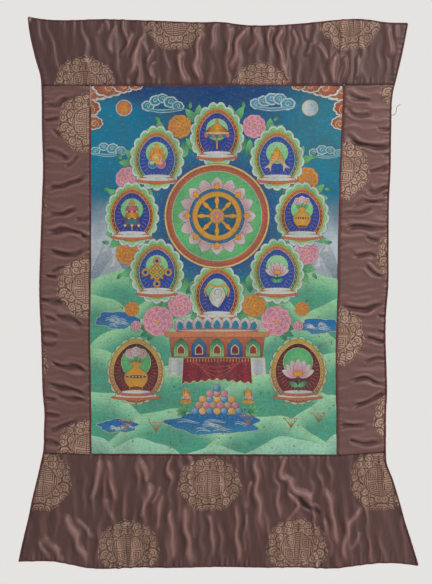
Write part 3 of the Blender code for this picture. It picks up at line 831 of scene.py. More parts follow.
for i in range(8):
    edged(placed(petal(10.5, 7, 8), WHEEL_X, WHEEL_Z, 45 * i + 22.5), PINK, CREAM, 0.4)
paint(placed(oval(3.5, 3.5, 14), WHEEL_X, WHEEL_Z), ORANGE)

for hand in (-1, 1):
    x = 2 + 118 * hand
    leaves(x, -612, 20 * hand, 46, 5, DEEP_GREEN, LIGHT_GREEN, 34)
    leaves(x + 6 * hand, -618, 100 * hand, 34, 4, LIGHT_GREEN, DEEP_GREEN, 32)
    peony(x, -602, 31, PINK, PALE_PINK, 8 * hand)
    peony(x + 52 * hand, -578, 15, TERRACOTTA, ORANGE, 5)
    peony(x + 44 * hand, -612, 11, WHITE, PINK, 25)
lotus_seat(2, -622, 82, 30, PINK, TURQUOISE)
table = [(-94, -628), (98, -628), (92, -676), (-88, -676)]
edged(table, TERRACOTTA, INK, 0.8, BROWN_RED, upward(-628, -676))
edged([(-104, -624), (108, -624), (104, -634), (-100, -634)], (206, 130, 84), INK, 0.7)
for i in range(5):
    x = 2 + 36 * (i - 2)
    arch = path([(-14, -19), (-14, 2), (-8, 11), (0, 17), (8, 11), (14, 2), (14, -19)], 22)
    edged(placed(arch, x, -654), (LIGHT_GREEN, ROYAL_BLUE)[i % 2], INK, 0.6, (DEEP_GREEN, TURQUOISE)[i % 2],
          upward(-672, -636))
    edged(placed(arch * 0.58, x, -658), CREAM, MAROON, 0.6)
    edged(placed(arch * 0.44, x, -659), (BROWN_RED, MAROON)[i % 2], PALE_GOLD, 0.5)
for half, drop, colour, shade in ((98, 24, WHITE, (160, 168, 168)), (70, 38, MAROON, (146, 44, 54))):
    t = np.linspace(-1, 1, 46)
    hem = np.stack([half * t, -676 - drop - 6 * abs(np.sin(4.5 * np.pi * t)) - 8 * abs(t)], axis=1)
    cloth = np.array([(-half + 3, -676), *hem, (half - 3, -676)]) + [2, 0]
    edged(cloth, colour, PALE_GOLD, 1.2, shade, lambda px, pz: 0.5 + 0.5 * np.sin(px / 4.2))
for j in range(4):
    sag = path([(-66 + 7 * j, -680), (0, -694 - 9 * j), (66 - 7 * j, -680)], 26)
    paint(line(sag + [2, 0], 0.8, 0.3), (190, 96, 84))
for i in range(21):
    x = 2 + 3.2 * (i - 10)
    paint(line([(x * 1.9, -677), (x * 1.9, -680.5), (x * 1.9, -684)], 1.1, 0.5), PALE_GOLD)

for hand, content in ((-1, vase), (1, lotus)):
    x, z = 2 + 162 * hand, -704
    edged(placed(scalloped(58, 66, 22, 0.07, 0.08), x, z), CREAM, INK, 0.7, PALE_GREEN, upward(z, z + 66))
    edged(placed(oval(53, 61, 48, 0.08), x, z), GOLD_PAINT, BROWN_RED, 0.7, (150, 100, 62),
          upward(z + 30, z - 60))
    for i in range(48):
        at = placed([(0, 1)], 0, 0, 7.5 * i)[0] * [49, 57]
        edged(placed(oval(1.5, 1.5, 7), x + at[0], z + at[1]), CREAM, BROWN_RED, 0.3)
    edged(placed(oval(45, 53, 44, 0.08), x, z), MAROON, PALE_GOLD, 0.9, (84, 32, 40), upward(z - 50, z + 50))
    for i in range(36):
        ray = placed(np.linspace((0, 30), (0, 44), 4), x, z + 4, 10 * i)
        paint(line(ray, 0.7, 0.3), (176, 120, 62))
    edged(placed(oval(29, 29, 44), x, z + 19), LIGHT_GREEN, PALE_GOLD, 0.8, (84, 176, 112),
          outward(x, z + 19, 0, 29))
    emblem_seat(x, z - 50, 50, TERRACOTTA)
    emblem_seat(x, z - 42, 34, PINK)
    content(x, z - 3, 1.62)
for row, (count, z) in enumerate([(7, -782), (6, -770), (5, -758), (3, -747), (1, -736)]):
    for i in range(count):
        x = 2 + 14.5 * (i - (count - 1) / 2)
        colour = ((48, 128, 176), PINK, ORANGE, TERRACOTTA)[(2 * i + 3 * row) % 4]
        edged(placed(oval(7.2, 6.8, 16), x, z), colour, INK, 0.5, WHITE,
              outward(x - 3, z + 3, 9, -2))
for hand in (-1, 1):
    x = 2 + 62 * hand
    jewel(x, -752, 0.62)
    edged(placed(oval(13, 4, 20), x, -764), GOLD_PAINT, BROWN_RED, 0.5)
leaves(-60, -786, -60, 22, 4, DEEP_GREEN, LIGHT_GREEN, 30)
leaves(66, -786, 60, 22, 4, DEEP_GREEN, LIGHT_GREEN, 30)


def canvas_outline(spacing=4.0):
    """The edge of the canvas, which stops just inside the pipings, as a closed line."""
    z_low = np.interp(0, [row.x for row in BOTTOM_SEAM], [row.z for row in BOTTOM_SEAM])
    t = np.linspace(0, 1, int(740 / spacing))
    u = np.linspace(0, 1, int(506 / spacing))

    def left(z):
        return side_x(CANVAS_SIDES, "left", z) + PIPING_ZONE

    def right(z):
        return side_x(CANVAS_SIDES, "right", z) - PIPING_ZONE

    def top(x):
        return seam_height(TOP_SEAM, x) - PIPING_ZONE

    def bottom(x):
        return seam_height(BOTTOM_SEAM, x) + PIPING_ZONE

    up = top(0) + (z_low + PIPING_ZONE - top(0)) * t
    left_line = np.stack([left(up), up], axis=1)
    right_line = np.stack([right(up), up], axis=1)
    top_x = left_line[0, 0] + (right_line[0, 0] - left_line[0, 0]) * u
    bottom_x = left_line[-1, 0] + (right_line[-1, 0] - left_line[-1, 0]) * u
    left_line[0, 1] = right_line[0, 1] = 0
    top_line = np.stack([top_x, top(top_x)], axis=1)
    bottom_line = np.stack([bottom_x, bottom(bottom_x)], axis=1)
    return np.concatenate([top_line, right_line[1:-1], bottom_line[::-1], left_line[-2:0:-1]])


def canvas_rise(x, z):
    """The hang of the canvas, cockled a little near its edges, with one old upright crease."""
    to_side = np.minimum(x - side_x(CANVAS_SIDES, "left", z), side_x(CANVAS_SIDES, "right", z) - x)
    to_end = np.minimum(seam_height(TOP_SEAM, x) - z, z - seam_height(BOTTOM_SEAM, x))
    near = np.exp(-np.minimum(to_side, to_end) / 34)
    cockle = 0.55 * ripple(x, z, (60, 150), (60, 150), 8, 71) * near
    cockle = cockle + 0.12 * ripple(x, z, (30, 80), (40, 110), 10, 72)
    crease = -0.5 * np.exp(-(((x + 206) / 2.4) ** 2)) * smooth((-150 - z) / 30) * smooth((z + 330) / 60)
    return hang(x, z) + cockle + crease


def within(outline, spots):
    """Whether all the spots lie inside an outline."""
    ahead = np.roll(outline, -1, 0)
    x, z = spots[:, :1], spots[:, 1:]
    crosses = (outline[:, 1] > z) != (ahead[:, 1] > z)
    rise = np.where(ahead[:, 1] == outline[:, 1], 1e-9, ahead[:, 1] - outline[:, 1])
    at = outline[:, 0] + (z - outline[:, 1]) / rise * (ahead[:, 0] - outline[:, 0])
    return bool(np.all(np.sum(crosses & (x < at), axis=1) % 2 == 1))


def on_tile_lines(points):
    """Points that all but touch a line between two tiles, moved on to it, so that both tiles have them."""
    line = TILES_FROM + TILE * np.round((points - TILES_FROM) / TILE)
    return np.where(np.abs(points - line) < NEARLY, line, points)


def parted(x_low, x_high, z_low, z_high):
    """A tile of the canvas cut along every stroke that crosses it: points, triangles, uppermost strokes."""
    frame_line = [(x_low, z_low), (x_high, z_low), (x_high, z_high), (x_low, z_high)]
    shapes, names = [frame_line, edge_line], [-2, -1]
    for i in np.nonzero((lows[:, 0] < x_high + 1) & (highs[:, 0] > x_low - 1)
                        & (lows[:, 1] < z_high + 1) & (highs[:, 1] > z_low - 1))[0]:
        shapes.append(on_tile_lines(strokes[i].points))
        names.append(i)
    starts = np.cumsum([0] + [len(shape) for shape in shapes])
    outlines = [list(range(starts[i], starts[i + 1])) for i in range(len(shapes))]
    across = np.arange(x_low, x_high + 1, CANVAS_GRID)
    up = np.arange(z_low, z_high + 1, CANVAS_GRID)
    net = np.stack(np.meshgrid(across, up), -1)
    spots = np.concatenate([*shapes, net.reshape(-1, 2)])
    made, _, cells, _, _, owners = delaunay_2d_cdt([Vector(p) for p in spots], [], outlines, 0, 1e-3, True)
    inside = [i for i, owner in enumerate(owners) if 0 in owner and 1 in owner]
    tops = [names[max(owners[i])] for i in inside]
    return np.array([tuple(p) for p in made]), [cells[i] for i in inside], tops


# The canvas is cut tile by tile, with a net of points of its own so that it can bend. Strokes that a broad
# one covers, or that lie past the canvas, are left out, and points that two tiles share are made one.
CANVAS_GRID = 11.0
BACK_GRID = 16.0
TILE = 4 * CANVAS_GRID
TILES_FROM = np.array([-260.0, -883.0])
TILES_TO = np.array([260.0, -120.0])
NEARLY = 0.02
WELD = 0.004
BROAD = 9
CANVAS_LOW, CANVAS_HIGH = np.array([-256, -872]), np.array([256, -130])
edge_line = on_tile_lines(turned_left(canvas_outline()))
lows = np.array([stroke.points.min(axis=0) for stroke in strokes])
highs = np.array([stroke.points.max(axis=0) for stroke in strokes])
shown = np.ones(len(strokes), bool)
for i in np.nonzero((highs - lows).min(axis=1) > BROAD)[0]:
    under = shown[:i] & np.all(lows[:i] > lows[i], axis=1) & np.all(highs[:i] < highs[i], axis=1)
    for j in np.nonzero(under)[0]:
        shown[j] = not within(strokes[i].points, strokes[j].points)
shown &= np.all(highs > CANVAS_LOW, axis=1) & np.all(lows < CANVAS_HIGH, axis=1)
strokes = [stroke for stroke, seen in zip(strokes, shown) if seen]
lows, highs = lows[shown], highs[shown]
laid, triangles, tops = [], [], []
count = 0
for x_low in np.arange(TILES_FROM[0], TILES_TO[0], TILE):
    for z_low in np.arange(TILES_FROM[1], TILES_TO[1], TILE):
        spots, cells, owners = parted(x_low, x_low + TILE, z_low, z_low + TILE)
        if cells:
            laid.append(spots)
            triangles.append(np.array(cells) + count)
            tops += owners
            count += len(spots)
laid, triangles, tops = np.concatenate(laid), np.concatenate(triangles), np.array(tops)
for shift in (0, 0.5):
    _, first, which = np.unique(np.round(laid / WELD + shift), axis=0, return_index=True, return_inverse=True)
    triangles = which.reshape(-1)[triangles]
    laid = laid[first]
whole = np.all(triangles != np.roll(triangles, 1, axis=1), axis=1)
triangles, tops = triangles[whole], tops[whole]
used, triangles = np.unique(triangles, return_inverse=True)
triangles = triangles.reshape(-1, 3)
laid = laid[used]
x, z = laid[:, 0], laid[:, 1]
# The canvas is one closed thin sheet: the painted front, a plainer net behind it and a rim between them.
edges = triangles[:, [0, 1, 1, 2, 2, 0]].reshape(-1, 2)
_, where, times = np.unique(np.sort(edges, axis=1), axis=0, return_index=True, return_counts=True)
rim = edges[where[times == 1]]
rim_points = np.unique(rim)
behind = {front: len(laid) + i for i, front in enumerate(rim_points)}
following = dict(rim.tolist())
loop = [rim[0, 0]]
while following[loop[-1]] != loop[0]:
    loop.append(following[loop[-1]])
across, up = np.arange(-244, 246, BACK_GRID), np.arange(-860, -136, BACK_GRID)
net = np.stack(np.meshgrid(across, up), -1).reshape(-1, 2)
spots = np.concatenate([laid[loop], net])
made, _, cells, from_spots, _, owners = delaunay_2d_cdt(
    [Vector(p) for p in spots], [], [list(range(len(loop)))], 0, 1e-3, True
)
back_index = {}
back_points = []
for i, sources in enumerate(from_spots):
    edge_sources = [s for s in sources if s < len(loop)]
    if edge_sources:
        back_index[i] = behind[loop[edge_sources[0]]]
    else:
        back_index[i] = len(laid) + len(rim_points) + len(back_points)
        back_points.append(tuple(made[i]))
back_cells = [[back_index[i] for i in cell[::-1]] for cell, owner in zip(cells, owners) if owner]
rim_cells = [[b, a, behind[a], behind[b]] for a, b in rim.tolist()]
flat = np.concatenate([laid, laid[rim_points], np.array(back_points)])
rise = canvas_rise(flat[:, 0], flat[:, 1])
rise[:len(laid)] += CANVAS_THICKNESS / 2
rise[len(laid):] -= CANVAS_THICKNESS / 2
mesh = bpy.data.meshes.new("painted_canvas")
placed_at = np.stack([flat[:, 0], -rise, flat[:, 1] + LINE], axis=1) * MM
mesh.from_pydata(placed_at.tolist(), [], triangles.tolist() + back_cells + rim_cells)
finish_of = np.zeros(len(mesh.polygons), np.int32)
finish_of[len(triangles):] = 1
mesh.polygons.foreach_set("material_index", finish_of)
corners = laid[triangles.ravel()]
colours = np.zeros((len(corners), 4), np.float32)
corner_tops = np.repeat(tops, 3)
order = np.argsort(corner_tops, kind="stable")
bounds = np.searchsorted(corner_tops[order], np.arange(len(strokes) + 1))
for i, stroke in enumerate(strokes):
    mine = order[bounds[i]:bounds[i + 1]]
    if len(mine) == 0:
        continue
    first, second = np.array(linear(*stroke.colour)[:3]), np.array(linear(*stroke.into)[:3])
    share = np.zeros(len(mine))
    if stroke.share is not None:
        share = np.clip(stroke.share(corners[mine, 0], corners[mine, 1]), 0, 1)
    colours[mine, :3] = first + (second - first) * share[:, None]
    colours[mine, 3] = 1
paint_layer = mesh.color_attributes.new("paint", "FLOAT_COLOR", "CORNER")
whole_colours = np.zeros((len(mesh.loops), 4), np.float32)
whole_colours[:len(colours)] = colours
paint_layer.data.foreach_set("color", whole_colours.ravel())
mesh.shade_smooth()
mesh.set_sharp_from_angle(angle=np.radians(60))
painting = bpy.data.objects.new("painted_canvas", mesh)
bpy.context.scene.collection.objects.link(painting)

picture = Finish("painted_canvas")
x, _, z = picture.place()
here = picture.vector(x, 0, z)
drift = picture.noise(here, 0.012, 3, 0.55)
height = z + 60 * (drift - 0.5)
sky = picture.blend(height.fade(-250, -140), linear(22, 104, 132), linear(12, 62, 118))
side = abs(x).fade(50, 220)
sky = picture.blend(side * height.fade(-430, -270) * height.fade(-130, -180), sky, linear(0, 124, 158))
teal = x.fade(90, 200) * height.fade(-350, -260)
sky = picture.blend(teal * 0.6, sky, linear(52, 124, 134))
sky = picture.blend((1 - side) * height.fade(-240, -330), sky, linear(58, 122, 136))
sky = picture.blend(height.fade(-340, -450), sky, linear(190, 200, 206))
sky = picture.blend(height.fade(-470, -540), sky, linear(116, 178, 152))
brush = picture.noise(picture.vector(x * 0.05, 0, z * 0.6), 1.0, 3, 0.6)
sky = picture.blend(brush.fade(0.4, 0.8) * 0.10, sky, linear(150, 180, 190))
colour_at = picture.node("Attribute", {"attribute_name": "paint"}, output=0)
cover = picture.node("Attribute", {"attribute_name": "paint"}, output=3)
painted = picture.blend(cover, sky, colour_at)
thin = picture.noise(here, 0.5, 4, 0.65)
worn = picture.noise(here, 0.03, 3, 0.6).fade(0.45, 0.62)
painted = picture.blend(thin.fade(0.45, 0.8) * 0.16, painted, linear(104, 134, 132))
slubs = picture.noise(picture.vector(x * 0.04, 0, z * 1.1), 1.0, 3, 0.65)
painted = picture.blend(slubs.fade(0.46, 0.72) * 0.32, painted, linear(58, 84, 92))
patchy = picture.noise(here, 0.14, 4, 0.7)
painted = picture.blend(patchy.fade(0.50, 0.74) * 0.28, painted, linear(70, 92, 88))
painted = picture.blend(patchy.fade(0.46, 0.28) * 0.16, painted, linear(188, 200, 180))
flaked = picture.noise(here, 0.85, 3, 0.7).fade(0.66, 0.70) * worn
painted = picture.blend(flaked * (0.12 + 0.38 * cover), painted, linear(206, 186, 150))
dirt_and_shade = picture.noise(here, 0.018, 5, 0.62)
painted = picture.blend(dirt_and_shade.fade(0.42, 0.72) * 0.30, painted, linear(78, 84, 78))
grain = picture.noise(here, 0.28, 2, 0.6)
painted = picture.blend(grain.fade(0.50, 0.72) * cover * 0.30, painted, linear(48, 62, 70))
painted = picture.blend(grain.fade(0.46, 0.30) * cover * 0.12, painted, linear(196, 200, 176))
painted = picture.blend(1.0, painted, linear(232, 235, 241), "MULTIPLY")
crackle = picture.node("TexVoronoi", {"feature": "DISTANCE_TO_EDGE"}, Vector=here, Scale=0.12, Randomness=1.0)
fine = crackle.fade(0.035, 0.012) * picture.noise(here, 0.03, 3, 0.6).fade(0.5, 0.66)
painted = picture.blend(fine * 0.35, painted, linear(70, 62, 56))
threads = (x * (2 * np.pi / 0.8)).sin() * (z * (2 * np.pi / 0.8)).sin()
relief = picture.bump(threads * 0.05 + thin * 0.25 - fine * 0.3, 0.0008, 0.6)
picture_finish = picture.surface(
    Base_Color=painted, Roughness=0.62 + 0.2 * thin, Normal=relief, Specular_IOR_Level=0.15,
)
bare = Finish("canvas_back")
x, _, z = bare.place()
here = bare.vector(x, 0, z)
threads = (x * (2 * np.pi / 0.8)).sin() * (z * (2 * np.pi / 0.8)).sin()
stain = bare.noise(here, 0.009, 6, 0.66)
linen = bare.blend(stain.fade(0.3, 0.8) * 0.55, linear(196, 182, 154), linear(164, 146, 116))
linen = bare.blend((0.5 + 0.5 * threads) * 0.25, linen, linear(140, 122, 96))
slub = bare.noise(bare.vector(x * 0.02, 0, z * 0.8), 1.0, 3, 0.6)
linen = bare.blend(slub.fade(0.5, 0.75) * 0.3, linen, linear(214, 202, 178))
bare_finish = bare.surface(
    Base_Color=linen, Roughness=0.9, Normal=bare.bump(threads * 0.3 + slub * 0.5, 0.0006, 0.6),
    Sheen_Weight=0.1,
)

mesh.materials.append(picture_finish)
mesh.materials.append(bare_finish)
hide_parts("painting")
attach(painting, "root")


# The pipings: four narrow rolls of dark red cotton, which cover the seams between the picture and the
# brocade. Each is a folded strip, drawn in a little at every stitch.
PIPING_ACROSS, PIPING_OUT = 1.8, 1.5
STITCH_PITCH = 4.2
ROLL_SIDES = 12
MAROON_CLOTH = linear(104, 36, 42)
MAROON_WORN = linear(138, 74, 74)
MAROON_SOILED = linear(62, 22, 26)
MAROON_BLEACHED = linear(184, 140, 134)


def roll(name, x, z, out, across, outwards, finish, spacing=1.1):
    """A closed soft roll of cloth along a line of x and z, which stands out by out(x, z)."""
    x, z = np.asarray(x, float), np.asarray(z, float)
    length = np.concatenate([[0], np.cumsum(np.hypot(np.diff(x), np.diff(z)))])
    along = np.linspace(0, length[-1], int(length[-1] / spacing) + 1)
    x, z = np.interp(along, length, x), np.interp(along, length, z)
    step_x, step_z = np.gradient(x), np.gradient(z)
    size = np.hypot(step_x, step_z)
    side_way_x, side_way_z = -step_z / size, step_x / size
    uneven = 0.05 * ripple(along, z * 0, (9, 30), (500, 900), 5, 12)
    pinch = 1 - 0.07 * np.cos(np.pi * along / STITCH_PITCH) ** 8 + uneven
    turn = np.linspace(0, 2 * np.pi, ROLL_SIDES, endpoint=False)
    sideways_part, out_part = np.cos(turn), np.sin(turn)
    level = out(x, z)
    points = np.stack(
        [
            x[:, None] + across * sideways_part * side_way_x[:, None] * pinch[:, None],
            -level[:, None] - outwards * out_part * pinch[:, None],
            z[:, None] + across * sideways_part * side_way_z[:, None] * pinch[:, None] + LINE,
        ],
        axis=2,
    )
    rows, sides = len(along), ROLL_SIDES
    i, j = np.meshgrid(np.arange(rows - 1), np.arange(sides), indexing="ij")
    next_j = (j + 1) % sides
    cells = np.stack([i * sides + j, i * sides + next_j, (i + 1) * sides + next_j, (i + 1) * sides + j], -1)
    faces = cells.reshape(-1, 4).tolist()
    faces += [list(range(sides))[::-1], list(range((rows - 1) * sides, rows * sides))]
    mesh = bpy.data.meshes.new(name)
    mesh.from_pydata((points.reshape(-1, 3) * MM).tolist(), [], faces)
    lengthwise = mesh.attributes.new("along", "FLOAT", "POINT")
    lengthwise.data.foreach_set("value", np.repeat(along, sides).astype(np.float32))
    inward = mesh.polygons[0].normal.dot(Vector(points[0, 0] - points[0, sides // 2])) < 0
    if inward:
        mesh.flip_normals()
    mesh.shade_smooth()
    mesh.materials.append(finish)
    made = bpy.data.objects.new(name, mesh)
    bpy.context.scene.collection.objects.link(made)
    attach(made, "root")
    return made


def red_cotton(name, worn_share, bleached=0):
    """Dark red cotton, worn pale in patches and, where bleached, pale near its top end."""
    mix = Finish(name)
    x, y, z = mix.place()
    along = mix.node("Attribute", {"attribute_name": "along"}, output=2)
    here = mix.vector(x, y, z)
    patchy = mix.noise(here, 0.03, 4, 0.6)
    wear_and_fold_shade = mix.noise(here, 0.5, 3, 0.6)
    # Darker at each stitch, where the roll is drawn in.
    pulled = (along * (np.pi / STITCH_PITCH)).cos().power(2.0)
    colour = mix.blend(patchy.fade(0.3, 0.7), MAROON_CLOTH, MAROON_SOILED)
    colour = mix.blend(wear_and_fold_shade.fade(0.5, 0.75) * worn_share, colour, MAROON_WORN)
    colour = mix.blend(pulled.fade(0.75, 1.0) * 0.5, colour, MAROON_SOILED)
    if bleached:
        colour = mix.blend(along.fade(bleached, bleached * 0.6) * 0.7, colour, MAROON_BLEACHED)
    weave = ((x + z) * (2 * np.pi / 0.7)).sin() * ((x - z) * (2 * np.pi / 0.7)).sin()
    relief = mix.bump(weave * 0.2 + wear_and_fold_shade * 0.3, 0.0005, 0.6)
    return mix.surface(Base_Color=colour, Roughness=0.68 + 0.15 * wear_and_fold_shade, Normal=relief, Sheen_Weight=0.15)


piping_cotton = red_cotton("piping_cotton", 0.35)
bleached_cotton = red_cotton("bleached_piping_cotton", 0.35, 50)
z_line = np.linspace(-131, -869, 120)
x_line = np.linspace(-252, 256, 100)
left_x, right_x = side_x(CANVAS_SIDES, "left", z_line) + 1.5, side_x(CANVAS_SIDES, "right", z_line) - 1.5
bottom_x = np.linspace(-250, 244, 100)
PIPINGS = {
    "piping_top": (x_line, seam_height(TOP_SEAM, x_line) - 1.5),
    "piping_bottom": (bottom_x, seam_height(BOTTOM_SEAM, bottom_x) + 1.5),
    "piping_left": (left_x, z_line),
    "piping_right": (right_x, z_line),
}
for node, (x, z) in PIPINGS.items():
    finish = bleached_cotton if node == "piping_left" else piping_cotton
    made = roll(node + "_roll", x, z, hang, PIPING_ACROSS, PIPING_OUT, finish)
    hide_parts(node)


# Brocade: two flared panels and two side strips, cut from one dark brown satin with woven gold roundels and
# gathered where they are sewn. The folds run down the panels and pucker across the strips.
BROCADE_THICKNESS = 1.4
ROUNDEL = 63.0
SEAM_GAP = 0.0
OVERLAP, TUCKED = 1.2, 2.6
SCROLLS = 4.2
SATIN_DARK = linear(59, 37, 35)
SATIN = linear(102, 70, 67)
SATIN_HIGHLIGHT_AND_STREAK = linear(138, 104, 100)
SATIN_GLOW = (1.0, 0.84, 0.82, 1)
SEAM_SHADOW = linear(30, 18, 18)
GOLD = linear(184, 150, 132)
GOLD_WORN = linear(154, 121, 98)
GOLD_GAP = linear(46, 26, 23)
GAP = 0.3
BINDING_WIDTH = 2.6
INSET = BINDING_WIDTH + GAP
TOP_EDGE = [
    Across(-376, 6),
    Across(-350, 2),
    Across(-212, 1.4),
    Across(-129, -0.8),
    Across(-19, -4.6),
    Across(0, -4),
    Across(63, -10.6),
    Across(165, -7.4),
    Across(205, -3.6),
    Across(248, 0.6),
    Across(289, 2.2),
    Across(317, -0.8),
    Across(334, -3.6),
    Across(384, -6),
]
BOTTOM_EDGE = [
    Across(-396, -1084),
    Across(-350, -1082.6),
    Across(-322, -1083),
    Across(-292, -1088),
    Across(-267, -1093.6),
    Across(-132, -1095),
    Across(168, -1095),
    Across(242, -1096.4),
    Across(275, -1092),
    Across(330, -1086.6),
    Across(372, -1088),
    Across(404, -1092),
]
OUTER_SIDES = [
    Side(10, -377, 387),
    Side(-24, -373, 381),
    Side(-70, -363, 372),
    Side(-120, -350, 360),
    Side(-140, -349, 355),
    Side(-220, -348, 350.5),
    Side(-300, -346, 349),
    Side(-360, -348, 346),
    Side(-460, -351.5, 345),
    Side(-540, -353.5, 344),
    Side(-580, -352.5, 340.5),
    Side(-620, -350.5, 339),
    Side(-700, -348, 341),
    Side(-740, -347, 342),
    Side(-790, -343, 340),
    Side(-820, -344, 340),
    Side(-866, -346, 340),
    Side(-884, -350, 341),
    Side(-920, -358, 354),
    Side(-960, -368, 366),
    Side(-1000, -376, 377),
    Side(-1040, -386, 390),
    Side(-1100, -399, 408),
]
Fold = namedtuple("Fold", "x_from z_from x_by z_by x_to z_to half_width rise")
TOP_FOLDS = [
    Fold(-228, -6, -234, -18, -240, -32, 11, 2),
    Fold(-204, -10, -212, -42, -212, -72, 13, 3),
    Fold(-168, -18, -178, -48, -192, -76, 13, 3),
    Fold(-146, -26, -160, -70, -176, -112, 15, 5),
    Fold(-129, -54, -134, -70, -139, -86, 11, 2.5),
    Fold(-124, -80, -128, -100, -132, -120, 12, 3),
    Fold(-68, -60, -74, -96, -58, -128, 15, 5),
    Fold(-27, -20, -41, -75, -30, -128, 15, 5),
    Fold(-2, -6, -8, -34, -8, -64, 12, 3),
    Fold(24, -10, 28, -40, 16, -76, 12, 3),
    Fold(60, -14, 40, -56, 30, -108, 15, 5),
    Fold(80, -14, 74, -42, 66, -74, 12, 3),
    Fold(104, -12, 104, -34, 102, -58, 12, 2.5),
    Fold(132, -12, 126, -60, 143, -120, 15, 5),
    Fold(154, -14, 155, -45, 154, -80, 12, 2.5),
    Fold(179, -10, 180, -24, 182, -42, 11, 2.5),
    Fold(193, -42, 187, -57, 181, -74, 11, 2.5),
    Fold(204, -46, 212, -64, 224, -84, 13, 3),
    Fold(245, -60, 234, -98, 238, -128, 15, 5),
    Fold(259, -70, 256, -96, 256, -124, 12, 3),
    Fold(278, -72, 286, -92, 276, -122, 12, 3),
    Fold(342, -10, 348, -46, 350, -76, 13, 3),
    Fold(356, -8, 360, -22, 365, -40, 11, 2.5),
]
BOTTOM_FOLDS = [
    Fold(-234, -874, -238, -920, -254, -966, 15, 5),
    Fold(-218, -874, -211, -920, -200, -966, 14, 4),
    Fold(-220, -954, -216, -980, -202, -1006, 13, 3),
    Fold(-148, -874, -145, -902, -132, -930, 15, 5),
    Fold(-128, -926, -140, -958, -152, -998, 15, 5),
    Fold(-115, -932, -122, -952, -130, -972, 12, 3),
    Fold(-94, -876, -95, -898, -96, -922, 12, 3),
    Fold(-104, -946, -114, -985, -116, -1022, 13, 3.5),
    Fold(-94, -976, -88, -1030, -88, -1090, 15, 5),
    Fold(-62, -960, -60, -1025, -40, -1092, 16, 5),
    Fold(-46, -976, -45, -1008, -46, -1042, 11, 2.5),
    Fold(-18, -984, -8, -1030, -8, -1084, 14, 4),
    Fold(-310, -984, -280, -1036, -258, -1092, 17, 5),
    Fold(-280, -996, -262, -1018, -242, -1040, 13, 3),
    Fold(-350, -1030, -322, -1060, -300, -1088, 14, 4),
    Fold(-360, -1036, -344, -1058, -338, -1082, 11, 3),
    Fold(80, -874, 82, -944, 94, -1034, 16, 5),
    Fold(68, -922, 64, -950, 60, -980, 12, 3),
    Fold(42, -962, 42, -1040, 50, -1092, 14, 4),
    Fold(60, -984, 57, -1026, 54, -1068, 11, 2.5),
    Fold(113, -930, 124, -966, 122, -998, 13, 3),
    Fold(138, -874, 131, -902, 140, -926, 16, 5),
    Fold(138, -916, 164, -942, 198, -962, 17, 6),
    Fold(150, -950, 180, -970, 208, -988, 13, -4),
    Fold(140, -944, 162, -974, 132, -1010, 14, 4),
    Fold(218, -932, 230, -990, 240, -1056, 16, 5),
    Fold(210, -994, 226, -1034, 228, -1080, 13, 3),
    Fold(298, -968, 262, -1020, 256, -1092, 16, 5),
    Fold(290, -1022, 280, -1042, 268, -1062, 13, 3),
]
LEFT_FOLDS = [
    Fold(-344, -170, -318, -166, -276, -148, 11, -3),
    Fold(-346, -203, -330, -200, -312, -200, 11, -3),
    Fold(-326, -218, -320, -224, -310, -232, 10, -2.5),
    Fold(-342, -262, -322, -264, -294, -280, 11, -3),
    Fold(-304, -292, -288, -284, -274, -272, 10, -2.5),
    Fold(-340, -332, -300, -330, -260, -310, 12, -4),
    Fold(-338, -390, -310, -388, -276, -376, 12, -4),
    Fold(-282, -399, -268, -397, -254, -393, 10, -2.5),
    Fold(-342, -424, -290, -423, -254, -440, 12, -4),
    Fold(-340, -463, -300, -468, -260, -461, 12, -4),
    Fold(-346, -513, -333, -512, -316, -510, 11, -3),
    Fold(-330, -499, -318, -499, -304, -497, 10, -2.5),
    Fold(-350, -557, -330, -562, -300, -574, 12, -3.5),
    Fold(-322, -586, -300, -596, -266, -618, 11, -3),
    Fold(-350, -594, -336, -595, -318, -601, 10, -2.5),
    Fold(-350, -626, -335, -630, -316, -635, 11, -3),
    Fold(-348, -645, -334, -647, -318, -649, 10, -2.5),
    Fold(-334, -688, -295, -693, -254, -709, 12, -4),
    Fold(-342, -728, -305, -736, -258, -749, 12, -3.5),
    Fold(-320, -748, -290, -759, -254, -757, 11, -3),
    Fold(-344, -754, -332, -757, -316, -761, 10, -2.5),
    Fold(-340, -790, -329, -791, -310, -792, 11, -3),
    Fold(-338, -821, -310, -816, -274, -798, 12, -3.5),
    Fold(-344, -842, -330, -844, -312, -852, 11, -3),
]
RIGHT_FOLDS = [
    Fold(262, -150, 285, -157, 310, -163, 11, -3),
    Fold(264, -174, 282, -192, 314, -186, 11, -3),
    Fold(322, -219, 334, -219, 348, -217, 10, -3),
    Fold(256, -231, 308, -254, 350, -247, 13, -4.5),
    Fold(330, -272, 340, -271, 350, -270, 10, -2.5),
    Fold(304, -305, 325, -300, 348, -296, 11, -3.5),
    Fold(300, -338, 324, -340, 346, -330, 11, -3.5),
    Fold(328, -352, 337, -351, 346, -350, 10, -2.5),
    Fold(268, -370, 304, -362, 342, -371, 11, -3),
    Fold(254, -389, 280, -385, 314, -379, 11, -2.5),
    Fold(254, -408, 300, -416, 346, -416, 13, -4),
    Fold(300, -433, 312, -436, 326, -442, 10, -2.5),
    Fold(272, -470, 300, -470, 320, -480, 11, -3),
    Fold(296, -492, 314, -503, 334, -516, 12, -3.5),
    Fold(250, -565, 290, -580, 340, -558, 12, -4),
    Fold(322, -595, 332, -596, 341, -597, 10, -2.5),
    Fold(322, -622, 331, -623, 340, -624, 10, -2.5),
    Fold(296, -638, 318, -640, 338, -646, 11, -3.5),
    Fold(296, -682, 318, -678, 338, -680, 11, -3),
    Fold(268, -720, 308, -722, 342, -731, 12, -3.5),
    Fold(268, -773, 304, -764, 340, -743, 12, -4),
    Fold(248, -810, 272, -812, 304, -810, 11, -3.5),
    Fold(266, -842, 286, -845, 334, -848, 11, -3),
]
FOLD_POINTS = 9
FOLD_ENDS = 0.2
RIDGE_SHARE, TROUGH_SHOULDER = 0.40, 1.15
RIDGE_DEPTH, TROUGH_DEPTH = 1.35, 1.15
